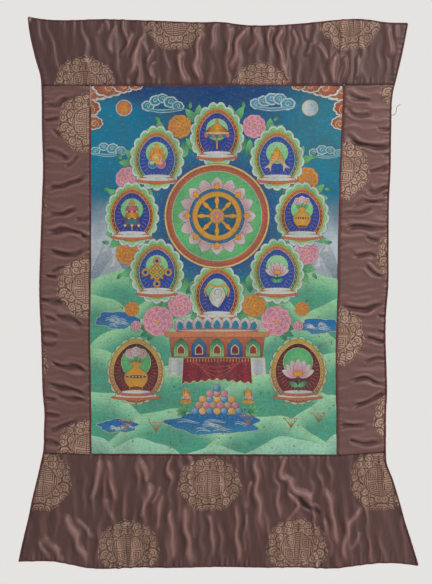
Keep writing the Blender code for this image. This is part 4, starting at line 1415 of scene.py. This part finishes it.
Roundel = namedtuple("Roundel", "x z turn wide tall", defaults=(1.0, 1.0))
TOP_ROUNDELS = [Roundel(-263, -133, 4), Roundel(-82, 0, -3), Roundel(89, -145, 2), Roundel(269, -1, -5)]
BOTTOM_ROUNDELS = [
    Roundel(-350, -922, 5),
    Roundel(-175, -1059, -3, 1.01, 0.96),
    Roundel(-13, -928, 1, 1.04, 0.90),
    Roundel(162, -1056, 4),
    Roundel(328, -921, -4),
]
LEFT_ROUNDELS = [
    Roundel(-255, -206, 0),
    Roundel(-400, -367, 3),
    Roundel(-258, -535, -3),
    Roundel(-397, -689, 2),
    Roundel(-255, -858, 4),
]
RIGHT_ROUNDELS = [
    Roundel(390, -134, 0),
    Roundel(246, -300, 3),
    Roundel(382, -472, -2),
    Roundel(236, -632, 2),
    Roundel(376, -797, 0),
]


def edge_height(table, x):
    """The height of a curved outer edge at each x."""
    return through([row.x for row in table], [row.z for row in table], x)


def steps(count):
    """Shares from 0 to 1 in even steps."""
    return np.linspace(0, 1, count + 1)


def grid_object(name, columns, rows, place, out):
    """A smooth open sheet: a grid laid out by place(across, down), standing out by out(x, z)."""
    bpy.ops.mesh.primitive_grid_add(x_subdivisions=len(columns) - 1, y_subdivisions=len(rows) - 1, size=1)
    sheet = bpy.context.object
    sheet.name = sheet.data.name = name
    mesh = sheet.data
    flat = np.empty(len(mesh.vertices) * 3, np.float32)
    mesh.vertices.foreach_get("co", flat)
    cell = np.array([len(columns) - 1, len(rows) - 1])
    index = np.rint((flat.reshape(-1, 3)[:, :2] + 0.5) * cell).astype(int)
    x, z = place(columns[index[:, 0]], rows[len(rows) - 1 - index[:, 1]])
    points = np.stack([x, -out(x, z), z + LINE], axis=1) * MM
    mesh.vertices.foreach_set("co", points.astype(np.float32).ravel())
    mesh.update()
    mesh.shade_smooth()
    return sheet


def finished(piece):
    """The same object with its modifiers made real."""
    graph = bpy.context.evaluated_depsgraph_get()
    made = bpy.data.meshes.new_from_object(piece.evaluated_get(graph))
    piece.modifiers.clear()
    piece.data = made
    made.name = piece.name
    return piece


def thickened(piece, thickness, front, back):
    """Gives an open sheet its cloth thickness, centred on the surface, with another finish behind."""
    piece.data.materials.append(front)
    piece.data.materials.append(back)
    solid = piece.modifiers.new("thickness", "SOLIDIFY")
    solid.thickness = thickness * MM
    solid.offset = 0
    solid.material_offset = 1
    finished(piece)
    piece.data.set_sharp_from_angle(angle=np.radians(60))
    return piece


def fold_rise(fold, x, z):
    """How far one fold lifts the cloth: a ridge along a bent line, fading at both ends."""
    reach = fold.half_width + 1
    xs = (fold.x_from, fold.x_by, fold.x_to)
    zs = (fold.z_from, fold.z_by, fold.z_to)
    near = (x > min(xs) - reach) & (x < max(xs) + reach) & (z > min(zs) - reach) & (z < max(zs) + reach)
    lifted = np.zeros(x.shape)
    here_x, here_z = x[near], z[near]
    t = np.linspace(0, 1, FOLD_POINTS)
    first, middle, last = (1 - t) * (1 - 2 * t), 4 * t * (1 - t), t * (2 * t - 1)
    line_x = first * xs[0] + middle * xs[1] + last * xs[2]
    line_z = first * zs[0] + middle * zs[1] + last * zs[2]
    nearest = np.full(here_x.shape, 1e9)
    along = np.zeros(here_x.shape)
    for i in range(FOLD_POINTS - 1):
        step_x, step_z = line_x[i + 1] - line_x[i], line_z[i + 1] - line_z[i]
        part = ((here_x - line_x[i]) * step_x + (here_z - line_z[i]) * step_z) / (step_x**2 + step_z**2)
        part = np.clip(part, 0, 1)
        far = np.hypot(here_x - line_x[i] - part * step_x, here_z - line_z[i] - part * step_z)
        closer = far < nearest
        nearest = np.where(closer, far, nearest)
        along = np.where(closer, (i + part) / (FOLD_POINTS - 1), along)
    off = np.clip(nearest / fold.half_width, 0, 1)
    if fold.rise > 0:
        across = RIDGE_DEPTH * np.exp(-((off / RIDGE_SHARE) ** 2)) * (1 - off**2)
    else:
        across = TROUGH_DEPTH * np.cos(TROUGH_SHOULDER * np.pi * off) * (1 - off**2)
    ends = smooth(along / FOLD_ENDS) * smooth((1 - along) / FOLD_ENDS)
    lifted[near] = fold.rise * across * ends
    return lifted


def brocade_out(folds, x_lengths, z_lengths, swell, slant, seed, gathered):
    """How a brocade piece stands out: slow waves, its folds bent a little off true, ripples between them,
    small gathers along its stitched edges and a dip into each seam."""

    def out(x, z):
        bent_x = x + 2.2 * ripple(x, z, (40, 90), (40, 90), 5, seed + 1)
        bent_z = z + 2.2 * ripple(x, z, (40, 90), (40, 90), 5, seed + 2)
        uneven = 1 + 0.16 * ripple(x, z, (35, 90), (35, 90), 6, seed + 3)
        rise = sum(fold_rise(fold, bent_x, bent_z) for fold in folds) * uneven
        flare = (700 / (side_x(OUTER_SIDES, "right", z) - side_x(OUTER_SIDES, "left", z))) ** 0.6
        waves = ripple(bent_x * flare + slant * z, bent_z, x_lengths, z_lengths, 16, seed + 4)
        rise = rise + swell * (np.maximum(waves, 0) ** 1.3 * 1.5 + np.minimum(waves, 0) * 0.5)
        total = hang(x, z) + rise
        for distance, across, reach, dip in gathered(x, z):
            pinch = ripple(across, distance, (6, 13), (60, 200), 9, seed + 5)
            pinch = pinch * (0.7 + 0.3 * ripple(across, distance, (60, 200), (60, 200), 4, seed + 6))
            near = np.exp(-((distance / reach) ** 2)) * smooth(distance / 2.5)
            total = total + 0.075 * reach * pinch * near
            total = total - dip * np.exp(-((distance / 2.0) ** 2))
        return total

    return out


def panel_place(edge, seam, up):
    """Lays a flared panel between its free edge (down = 0) and its seam (down = 1)."""

    def place(across, down):
        edge_x = edge[0].x + INSET + across * (edge[-1].x - edge[0].x - 2 * INSET)
        seam_left = side_x(OUTER_SIDES, "left", seam[0].z) + INSET
        seam_right = side_x(OUTER_SIDES, "right", seam[-1].z) - INSET
        seam_x = seam_left + across * (seam_right - seam_left)
        free = edge_height(edge, edge_x) - up * (INSET - 0.2)
        sewn = seam_height(seam, seam_x) + up * SEAM_GAP
        z = free + down * (sewn - free)
        left = side_x(OUTER_SIDES, "left", z) + INSET - 0.2
        right = side_x(OUTER_SIDES, "right", z) - INSET + 0.2
        return left + across * (right - left), z

    return place


def strip_place(outer, inner):
    """Lays a side strip. outer and inner give x at a height, for its free edge and for its seam."""

    def place(across, down):
        x = outer(0) + across * (inner(0) - outer(0))
        for _ in range(4):
            top = seam_height(TOP_SEAM, x) + OVERLAP
            bottom = seam_height(BOTTOM_SEAM, x) - OVERLAP
            z = top + down * (bottom - top)
            x = outer(z) + across * (inner(z) - outer(z))
        return x, z

    return place


def left_edge(z):
    return side_x(OUTER_SIDES, "left", z) + INSET - 0.2


def right_edge(z):
    return side_x(OUTER_SIDES, "right", z) - INSET + 0.2


def left_seam(z):
    return side_x(CANVAS_SIDES, "left", z)


def right_seam(z):
    return side_x(CANVAS_SIDES, "right", z)


def panel_edges(edge, seam, edge_reach):
    """For each edge of a panel: how far it is, the place along it, the reach of its gathers and its dip."""

    def gathered(x, z):
        top, bottom = abs(edge_height(edge, x) - z), abs(seam_height(seam, x) - z)
        left, right = abs(x - left_edge(z)), abs(x - right_edge(z))
        return [(top, x, edge_reach, 1.0), (bottom, x, 10, 1.0), (left, z, 8, 1.0), (right, z, 8, 1.0)]

    return gathered


def strip_edges(outer, inner):
    def gathered(x, z):
        top, bottom = abs(seam_height(TOP_SEAM, x) - z), abs(seam_height(BOTTOM_SEAM, x) - z)
        sides = [(abs(x - outer(z)), z, 11, 1.0), (abs(x - inner(z)), z, 9, 1.0)]
        return sides + [(top, x, 6, TUCKED), (bottom, x, 6, TUCKED)]

    return gathered


def lay_roundels(sheet, roundels):
    """A UV map that gives each face its place in the nearest roundel, in roundel radii."""
    mesh = sheet.data
    corners = np.empty(len(mesh.loops), np.int32)
    mesh.loops.foreach_get("vertex_index", corners)
    points = np.empty(len(mesh.vertices) * 3, np.float32)
    mesh.vertices.foreach_get("co", points)
    points = points.reshape(-1, 3)[corners] / MM
    starts = np.empty(len(mesh.polygons), np.int32)
    counts = np.empty(len(mesh.polygons), np.int32)
    mesh.polygons.foreach_get("loop_start", starts)
    mesh.polygons.foreach_get("loop_total", counts)
    face = np.repeat(np.arange(len(starts)), counts)
    middle = points[starts][face]
    table = np.array(roundels)
    far = np.hypot(middle[:, :1] - table[:, 0], middle[:, 2:] - LINE - table[:, 1])
    mine = table[np.argmin(far, axis=1)]
    x = (points[:, 0] - mine[:, 0]) / ROUNDEL / mine[:, 3]
    z = (points[:, 2] - LINE - mine[:, 1]) / ROUNDEL / mine[:, 4]
    turn = np.radians(mine[:, 2])
    laid = np.stack([x * np.cos(turn) - z * np.sin(turn), x * np.sin(turn) + z * np.cos(turn)], axis=1)
    layer = mesh.uv_layers.active or mesh.uv_layers.new(name="roundel")
    layer.name = "roundel"
    layer.data.foreach_set("uv", laid.astype(np.float32).ravel())


def note_lift(sheet, gathered, base):
    """Keeps, for the finish, how far each point stands above the hang from a base for its piece (lift), which
    the finish turns into painted highlight on the ridges and painted shade in the troughs, and how near a
    seam or edge it is, for painted shade along it.
    """
    points = np.empty(len(sheet.data.vertices) * 3, np.float32)
    sheet.data.vertices.foreach_get("co", points)
    points = points.reshape(-1, 3) / MM
    x, z = points[:, 0], points[:, 2] - LINE
    lift = base + (-points[:, 1] - hang(x, z)) / 7.0
    near = sum(np.exp(-((distance / 1.6) ** 2)) for distance, *_ in gathered(x, z))
    for name, values in (("lift", lift), ("near_edge", np.clip(near, 0, 1))):
        sheet.data.attributes.new(name, "FLOAT", "POINT").data.foreach_set("value", values.astype(np.float32))


def line_at(value, centre, half_width, soft=0.012):
    """1 on a line and 0 off it."""
    return abs(value - centre).fade(half_width + soft, half_width - soft)


def brocade_finish(name, face):
    """Satin with woven roundels. face is 1 for the right side and 0 for the duller wrong side."""
    mix = Finish(name)
    x, _, z = mix.place()
    cloth = mix.vector(x, 0, z)
    wobble = mix.node("TexNoise", {"noise_dimensions": "2D"}, output=1, Vector=cloth, Scale=0.05, Detail=1.0)
    push_u, push_v, _ = mix.parts(wobble)
    place_u, place_v, _ = mix.parts(mix.node("UVMap", {"uv_map": "roundel"}))
    u = place_u + 0.06 * (push_u - 0.5)
    v = place_v + 0.06 * (push_v - 0.5)
    radius = (u * u + v * v).root()
    turn = v.math("ARCTAN2", u)
    side, up = abs(u), abs(v)

    # The band of cloud scrolls: a volute in each cell of an uneven net, mirrored left to right.
    net = mix.vector(side * SCROLLS, v * SCROLLS, 0)
    cell = {"voronoi_dimensions": "2D", "feature": "F1"}
    far = mix.node("TexVoronoi", cell, Vector=net, Scale=1.0, Randomness=0.7)
    chance_of, _, _ = mix.parts(mix.node("TexVoronoi", cell, output=1, Vector=net, Scale=1.0, Randomness=0.7))
    eye_u, eye_v, _ = mix.parts(mix.node("TexVoronoi", cell, output=2, Vector=net, Scale=1.0, Randomness=0.7))
    hand = (chance_of > 0.5) * 2 - 1
    angle = (v * SCROLLS - eye_v).math("ARCTAN2", side * SCROLLS - eye_u) * hand
    volute = (angle / (2 * np.pi) + far * 2.9 + chance_of).fraction()
    volutes = abs(volute - 0.5).fade(0.31, 0.40)
    border = mix.node(
        "TexVoronoi", {"voronoi_dimensions": "2D", "feature": "DISTANCE_TO_EDGE"}, Vector=net, Scale=1.0,
        Randomness=0.7,
    ).fade(0.08, 0.03)
    lobes = 0.985 - 0.045 * abs((turn * 11 + 0.6).sin()) - 0.03 * (turn * 7).sin()
    disc = (radius - lobes).fade(0.008, -0.008)
    rim_line = line_at(radius, lobes - 0.035, 0.011) * (1 - border)

    # The medallion: four mirrored key frets round an upright ladder, inside a plain gold ring.
    inside = (radius - 0.485).fade(0.005, -0.005)
    ring = line_at(radius, 0.497, 0.014)
    plain = (radius - 0.511).fade(-0.004, 0.004) * (radius - 0.535).fade(0.004, -0.004)
    box = abs(side - 0.235).most(abs(up - 0.185) * 1.05)
    key = (box / 0.066 + (up - 0.185).math("ARCTAN2", side - 0.235) / (2 * np.pi)).fraction()
    keys = abs(key - 0.5).fade(0.26, 0.37) * (side - 0.075).fade(-0.004, 0.004)
    ladder = line_at((up / 0.066).fraction(), 0.5, 0.18, 0.07) * (side - 0.055).fade(0.004, -0.004)
    posts = line_at(side, 0.068, 0.010)
    fret = (keys + ladder + posts).least(1.0)
    scrolls = (volutes + border + rim_line).least(1.0) * (1 - plain) * (1 - inside)
    gaps = (scrolls + inside * fret + ring).least(1.0)
    threads = mix.noise(mix.vector(x * 0.5, 0, z * 2.0), 1.0, 2, 0.5)
    gold = disc * (1 - 0.9 * gaps)

    shade = mix.noise(mix.vector(x * 0.010, 0, z * 0.006), 1.0, 3, 0.55)
    streak = mix.noise(mix.vector(x * 0.9, 0, z * 0.03), 1.0, 2, 0.6)
    lift = mix.node("Attribute", {"attribute_name": "lift"}, output=2)
    # Painted highlight and shade: by each point's lift, with some random tone, the satin is dark in the
    # troughs of the folds, lighter up their sides and lightest on the highest ridges.
    wear_and_fold_shade = (lift + 0.25 * (shade - 0.5)).fade(-0.15, 0.75)
    satin = mix.blend(wear_and_fold_shade, SATIN_DARK, SATIN)
    satin = mix.blend(lift.fade(0.45, 1.1) * 0.75, satin, SATIN_HIGHLIGHT_AND_STREAK)
    satin = mix.blend((streak * 0.5).fade(0.15, 0.5) * 0.3, satin, SATIN_HIGHLIGHT_AND_STREAK)
    worn = mix.noise(cloth, 0.02, 4, 0.6).fade(0.35, 0.7)
    woven = mix.blend(worn, GOLD, GOLD_WORN)
    woven = mix.blend(threads.fade(0.35, 0.7) * 0.25, woven, GOLD_GAP)
    # Painted shade: the gold is darker in the troughs of the folds too.
    woven = mix.blend((1 - wear_and_fold_shade) * 0.35, woven, GOLD_GAP)
    ground = mix.blend(disc * gaps, satin, GOLD_GAP)
    colour = mix.blend(gold, ground, woven)
    # Painted shade: the satin and gold are darkened along every seam and edge, where the cloth dips.
    dirt_and_shade = mix.node("Attribute", {"attribute_name": "near_edge"}, output=2)
    colour = mix.blend(dirt_and_shade * 0.55, colour, SEAM_SHADOW)
    weave = (x * (2 * np.pi / 0.9)).sin() * (z * (2 * np.pi / 0.9)).sin()
    twill = ((x + z * 0.5) * (2 * np.pi / 1.3)).sin()
    height = gold * 0.30 + disc * twill * 0.05 + weave * 0.03 + streak * 0.12
    relief = mix.bump(height, 0.0011, 0.75)
    if face:
        return mix.surface(
            Base_Color=colour, Roughness=0.46 + 0.08 * shade + gold * 0.14, Normal=relief, Sheen_Weight=0.08,
            Specular_IOR_Level=0.55, Specular_Tint=SATIN_GLOW,
        )
    dull = mix.blend(0.45, colour, SATIN_DARK)
    return mix.surface(Base_Color=dull, Roughness=0.72, Normal=relief, Sheen_Weight=0.1)


brocade = brocade_finish("satin_brocade", 1)
brocade_back = brocade_finish("satin_brocade_back", 0)
left_strip_place = strip_place(left_edge, left_seam)
right_strip_place = strip_place(right_seam, right_edge)
top_place = panel_place(TOP_EDGE, TOP_SEAM, 1)
bottom_place = panel_place(BOTTOM_EDGE, BOTTOM_SEAM, -1)
ALL_FOLDS = TOP_FOLDS + BOTTOM_FOLDS + LEFT_FOLDS + RIGHT_FOLDS
DOWN, BROAD_DOWN, LONG = (14, 34), (16, 40), (140, 360)
OVER, CLOSE = (70, 220), (11, 32)
# A piece's shade is a base added to the lift of its points: the strips have the highest, so the same satin is
# painted lighter on them than on the panels, as painted light.
CutPiece = namedtuple(
    "CutPiece", "name columns rows place gathered x_lengths z_lengths swell slant roundels flat area shade"
)
BROCADE_PIECES = [
    CutPiece(
        "top_panel", steps(460), steps(56), top_place, panel_edges(TOP_EDGE, TOP_SEAM, 9), DOWN, LONG,
        1.0, 0.1, TOP_ROUNDELS, (0.78, 0.14), 0.102, 0.02,
    ),
    CutPiece(
        "bottom_panel", steps(560), steps(80)[::-1], bottom_place, panel_edges(BOTTOM_EDGE, BOTTOM_SEAM, 18),
        BROAD_DOWN, LONG, 1.2, 0.10, BOTTOM_ROUNDELS, (0.83, 0.235), 0.176, 0.12,
    ),
    CutPiece(
        "left_strip", steps(40), steps(480), left_strip_place, strip_edges(left_edge, left_seam), OVER, CLOSE,
        0.55, 0.0,
        LEFT_ROUNDELS, (0.10, 0.78), None, 0.5,
    ),
    CutPiece(
        "right_strip", steps(40), steps(480), right_strip_place, strip_edges(right_edge, right_seam), OVER,
        CLOSE,
        0.55, 0.0, RIGHT_ROUNDELS, (0.10, 0.78), None, 0.5,
    ),
]


def piece_out(number, gathered):
    """How far one brocade piece stands out, with the gathers along the edges that are given."""
    piece = BROCADE_PIECES[number]
    seed = 40 + 10 * number
    return brocade_out(ALL_FOLDS, piece.x_lengths, piece.z_lengths, piece.swell, piece.slant, seed, gathered)


for number, piece in enumerate(BROCADE_PIECES):
    out = piece_out(number, piece.gathered)
    sheet = grid_object(piece.name + "_cloth", piece.columns, piece.rows, piece.place, out)
    note_lift(sheet, piece.gathered, piece.shade)
    lay_roundels(sheet, piece.roundels)
    thickened(sheet, BROCADE_THICKNESS, brocade, brocade_back)
    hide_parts(piece.name)
    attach(sheet, "root")


# The binding: a narrow strip of the same dark red cotton, folded over the raw outer edge of the brocade and
# whipped down by hand. It follows the folds of the cloth that it holds.
BINDING_ACROSS, BINDING_OUT = 1.6, 1.35
BINDING_MIDDLE = 1.3


def edge_out(number):
    """How a brocade piece stands out at its outer edge, without its gathers."""
    return piece_out(number, lambda x, z: [])


def beside(strip_number):
    """How a side binding stands out: with the top panel, then the strip, then the bottom panel."""
    top, bottom, strip = edge_out(0), edge_out(1), edge_out(strip_number)

    def out(x, z):
        upper, lower = smooth((z + 142) / 24), smooth((-856 - z) / 24)
        return upper * top(x, z) + lower * bottom(x, z) + (1 - upper - lower) * strip(x, z)

    return out


binding_cotton = red_cotton("binding_cotton", 0.5)
top_x = np.linspace(TOP_EDGE[0].x + 1.2, TOP_EDGE[-1].x - 1.6, 300)
bottom_x = np.linspace(BOTTOM_EDGE[0].x + 1.2, BOTTOM_EDGE[-1].x - 1.2, 300)
left_z = np.linspace(4.0, -1082.5, 400)
right_z = np.linspace(-7.0, -1090.5, 400)
BINDINGS = {
    "binding_top": (top_x, edge_height(TOP_EDGE, top_x) - BINDING_MIDDLE, edge_out(0), "top_panel"),
    "binding_bottom": (
        bottom_x, edge_height(BOTTOM_EDGE, bottom_x) + BINDING_MIDDLE, edge_out(1), "bottom_panel",
    ),
    "binding_left": (side_x(OUTER_SIDES, "left", left_z) + BINDING_MIDDLE, left_z, beside(2), "left_strip"),
    "binding_right": (
        side_x(OUTER_SIDES, "right", right_z) - BINDING_MIDDLE, right_z, beside(3), "right_strip",
    ),
}
stitch_lines = []
for node, (x, z, out, carrier) in BINDINGS.items():
    made = roll(node + "_roll", x, z, out, BINDING_ACROSS, BINDING_OUT, binding_cotton)
    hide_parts(node)
    piece = next(piece for piece in BROCADE_PIECES if piece.name == carrier)
    stitch_lines.append((x, z, out))


# The sewing: small slanted whip stitches of dark red thread, which hold the binding down, one pitch apart and
# none quite like the next. They are laid along the binding's inner edge.
STITCH_LENGTH, STITCH_THICKNESS, STITCH_SLANT = 3.0, 0.55, 58


def stitch_tree(finish):
    """Lays small rounded bars along a curve: Pitch, Length, Thickness and Slant are its sizes."""
    tree = bpy.data.node_groups.new("whip_stitches", "GeometryNodeTree")
    tree.interface.new_socket("Geometry", in_out="INPUT", socket_type="NodeSocketGeometry")
    for name in ("Pitch", "Length", "Thickness", "Slant"):
        tree.interface.new_socket(name, in_out="INPUT", socket_type="NodeSocketFloat")
    tree.interface.new_socket("Geometry", in_out="OUTPUT", socket_type="NodeSocketGeometry")

    def node(kind, settings=None, **sockets):
        made = tree.nodes.new(kind)
        for key, value in (settings or {}).items():
            setattr(made, key, value)
        for key, value in sockets.items():
            socket = next(s for s in made.inputs if s.name.replace(" ", "_") == key and s.enabled)
            if isinstance(value, bpy.types.NodeSocket):
                tree.links.new(value, socket)
            else:
                socket.default_value = value
        return made

    given = node("NodeGroupInput").outputs
    points = node(
        "GeometryNodeResampleCurve", {"mode": "LENGTH"}, Curve=given["Geometry"], Length=given["Pitch"]
    ).outputs[0]
    bar = node("GeometryNodeMeshUVSphere", Segments=8, Rings=6, Radius=0.5).outputs["Mesh"]
    tangent = node("GeometryNodeInputTangent").outputs[0]
    turned = node("FunctionNodeAlignRotationToVector", {"axis": "X"}, Vector=tangent)
    chance = node("FunctionNodeRandomValue", Min=-9.0, Max=9.0, Seed=11).outputs[1]
    lean = node("ShaderNodeMath", {"operation": "ADD"})
    tree.links.new(given["Slant"], lean.inputs[0])
    tree.links.new(chance, lean.inputs[1])
    radians = node("ShaderNodeMath", {"operation": "RADIANS"})
    tree.links.new(lean.outputs[0], radians.inputs[0])
    about = node("FunctionNodeAxisAngleToRotation", Axis=(0, 1, 0), Angle=radians.outputs[0])
    both = node("FunctionNodeRotateRotation", {"rotation_space": "GLOBAL"}, Rotation=turned.outputs[0])
    tree.links.new(about.outputs[0], both.inputs[1])
    size = node("ShaderNodeCombineXYZ", X=given["Length"], Y=given["Thickness"], Z=given["Thickness"])
    laid = node(
        "GeometryNodeInstanceOnPoints", Points=points, Instance=bar, Rotation=both.outputs[0],
        Scale=size.outputs[0],
    )
    real = node("GeometryNodeRealizeInstances", Geometry=laid.outputs[0])
    dressed = node("GeometryNodeSetMaterial", Geometry=real.outputs[0], Material=finish)
    tree.links.new(dressed.outputs[0], node("NodeGroupOutput").inputs[0])
    return tree


sewing = Finish("sewing_thread")
x, y, z = sewing.place()
twist = ((x + y + z) * (2 * np.pi / 0.5)).sin()
fade = sewing.noise(sewing.vector(x, y, z), 0.05, 3, 0.6)
red = sewing.blend(fade.fade(0.35, 0.7), linear(84, 30, 34), linear(122, 62, 60))
sewing_finish = sewing.surface(
    Base_Color=red, Roughness=0.6 + 0.1 * fade, Normal=sewing.bump(twist * 0.4, 0.0002),
)
whip = stitch_tree(sewing_finish)
for number, (x, z, out) in enumerate(stitch_lines):
    toward = 1 if number in (1, 2) else -1
    upright = number > 1
    line_x = x + (toward * 1.5 if upright else 0)
    line_z = z + (0 if upright else toward * 1.5)
    laid = bpy.data.curves.new("stitch_line", "CURVE")
    laid.dimensions = "3D"
    spline = laid.splines.new("POLY")
    spline.points.add(len(x) - 1)
    front = out(line_x, line_z) + 1.05
    table = np.stack([line_x, -front, line_z + LINE], axis=1) * MM
    for point, place in zip(spline.points, table):
        point.co = (*place, 1)
    piece = bpy.data.objects.new("binding_stitches_" + ("top", "bottom", "left", "right")[number], laid)
    bpy.context.scene.collection.objects.link(piece)
    lay = piece.modifiers.new("stitches", "NODES")
    lay.node_group = whip
    sizes = {"Pitch": STITCH_PITCH, "Length": STITCH_LENGTH, "Thickness": STITCH_THICKNESS}
    for socket in whip.interface.items_tree:
        if socket.name in sizes:
            lay[socket.identifier] = sizes[socket.name] * MM
        if socket.name == "Slant":
            lay[socket.identifier] = float(STITCH_SLANT)
    graph = bpy.context.evaluated_depsgraph_get()
    mesh = bpy.data.meshes.new_from_object(piece.evaluated_get(graph))
    name = piece.name
    bpy.data.objects.remove(piece)
    stitches = bpy.data.objects.new(name, mesh)
    mesh.name = name
    bpy.context.scene.collection.objects.link(stitches)
    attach(stitches, "root")

# The mend: the upper left corner has frayed, and a few pale grey stitches hold its threads together.
CORNER_X, CORNER_Z = -373.0, 2.4
MEND_STITCHES = [
    (-3.0, 3.2, 2.6, 4.0),
    (-3.2, 1.2, 3.6, 2.4),
    (-2.8, -1.0, 4.4, 0.4),
    (-2.4, -3.2, 4.0, -1.8),
    (-1.6, -5.2, 3.0, -4.2),
    (-2.2, 4.4, -1.2, -5.6),
    (0.6, 4.6, 0.2, -5.0),
    (2.8, 4.2, -2.6, -2.4),
    (4.6, 3.0, -1.8, -4.8),
    (5.8, 3.6, 7.6, 0.2),
    (8.2, 3.4, 9.4, 0.6),
    (-1.0, -7.4, 1.8, -6.6),
]
tangle = bpy.data.curves.new("corner_mend", "CURVE")
tangle.dimensions = "3D"
tangle.bevel_depth = 0.5 * MM
tangle.bevel_resolution = 2
tangle.use_fill_caps = True
tangle.resolution_u = 5
top_out = edge_out(0)
for x_from, z_from, x_to, z_to in MEND_STITCHES:
    spline = tangle.splines.new("NURBS")
    spline.points.add(4)
    spline.order_u = 4
    spline.use_endpoint_u = True
    for point, share in zip(spline.points, np.linspace(0, 1, 5)):
        x = np.array([CORNER_X + x_from + (x_to - x_from) * share])
        z = np.array([CORNER_Z + z_from + (z_to - z_from) * share])
        lift = 1.5 * np.sin(np.pi * share) ** 0.5 - 0.3 + 0.05 * (x_from + z_to)
        point.co = (x[0] * MM, -(top_out(x, z)[0] + lift) * MM, (z[0] + LINE) * MM, 1)
holder = bpy.data.objects.new("corner_mend", tangle)
bpy.context.scene.collection.objects.link(holder)
graph = bpy.context.evaluated_depsgraph_get()
mended = bpy.data.meshes.new_from_object(holder.evaluated_get(graph))
bpy.data.objects.remove(holder)
mended.name = "corner_mend"
mended.shade_smooth()
grey = Finish("mending_thread")
x, y, z = grey.place()
ply = ((x * 0.7 + z + y) * (2 * np.pi / 0.6)).sin()
dusty = grey.noise(grey.vector(x, y, z), 0.2, 3, 0.6)
pale = grey.blend(dusty.fade(0.35, 0.7), linear(196, 186, 182), linear(140, 124, 120))
mended.materials.append(
    grey.surface(Base_Color=pale, Roughness=0.7 + 0.1 * dusty, Normal=grey.bump(ply * 0.4, 0.0002))
)
corner_mend = bpy.data.objects.new("corner_mend", mended)
bpy.context.scene.collection.objects.link(corner_mend)
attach(corner_mend, "root")


# The room: a plain pale floor well below the hanging, soft light from the upper right and a pale surround.
FLOOR_HEIGHT = -1.30
FLOOR_COLOUR = linear(226, 224, 220)
bpy.ops.mesh.primitive_plane_add(size=1)
floor = bpy.context.object
floor.name = "floor"
for vert in floor.data.vertices:
    vert.co *= 4
for vert in floor.data.vertices:
    vert.co.y -= 1.2
    vert.co.z = FLOOR_HEIGHT
plain = Finish("floor")
floor.data.materials.append(plain.surface(Base_Color=FLOOR_COLOUR, Roughness=0.8))
floor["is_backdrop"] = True


def soft_light(name, place, aim, size, watts, colour):
    """A rectangular lamp that faces a place."""
    lamp = bpy.data.lights.new(name, "AREA")
    lamp.shape = "RECTANGLE"
    lamp.size, lamp.size_y = size
    lamp.energy = watts
    lamp.color = colour
    made = bpy.data.objects.new(name, lamp)
    made.location = place
    made.rotation_euler = (Vector(aim) - Vector(place)).to_track_quat("-Z", "Y").to_euler()
    bpy.context.scene.collection.objects.link(made)


soft_light("key", (1.9, -2.1, 1.15), (0, 0, -0.65), (1.0, 0.9), 88, (1.0, 0.97, 0.94))
soft_light("fill", (-2.0, -1.9, -0.2), (0, 0, -0.6), (1.6, 1.6), 10, (1.0, 0.97, 0.95))
soft_light("behind", (0.7, 2.3, 1.5), (0, 0, -0.6), (1.8, 1.2), 60, (1.0, 0.98, 0.96))
surround = bpy.data.worlds.new("surround")
surround.use_nodes = True
sky_tree = surround.node_tree
lighting = sky_tree.nodes["Background"]
lighting.inputs["Color"].default_value = (0.93, 0.93, 0.92, 1)
lighting.inputs["Strength"].default_value = 0.26
seen = sky_tree.nodes.new("ShaderNodeBackground")
seen.inputs["Color"].default_value = (0.78, 0.77, 0.75, 1)
either = sky_tree.nodes.new("ShaderNodeMixShader")
rays = sky_tree.nodes.new("ShaderNodeLightPath")
sky_tree.links.new(rays.outputs["Is Camera Ray"], either.inputs[0])
sky_tree.links.new(lighting.outputs[0], either.inputs[1])
sky_tree.links.new(seen.outputs[0], either.inputs[2])
sky_tree.links.new(either.outputs[0], sky_tree.nodes["World Output"].inputs[0])
bpy.context.scene.world = surround
bpy.context.scene.view_settings.view_transform = "Standard"
bpy.context.scene.view_settings.look = "None"

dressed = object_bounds()
sizes = {"cad": [list(map(float, c)) for c in cad_box], "scene": [list(map(float, c)) for c in dressed]}
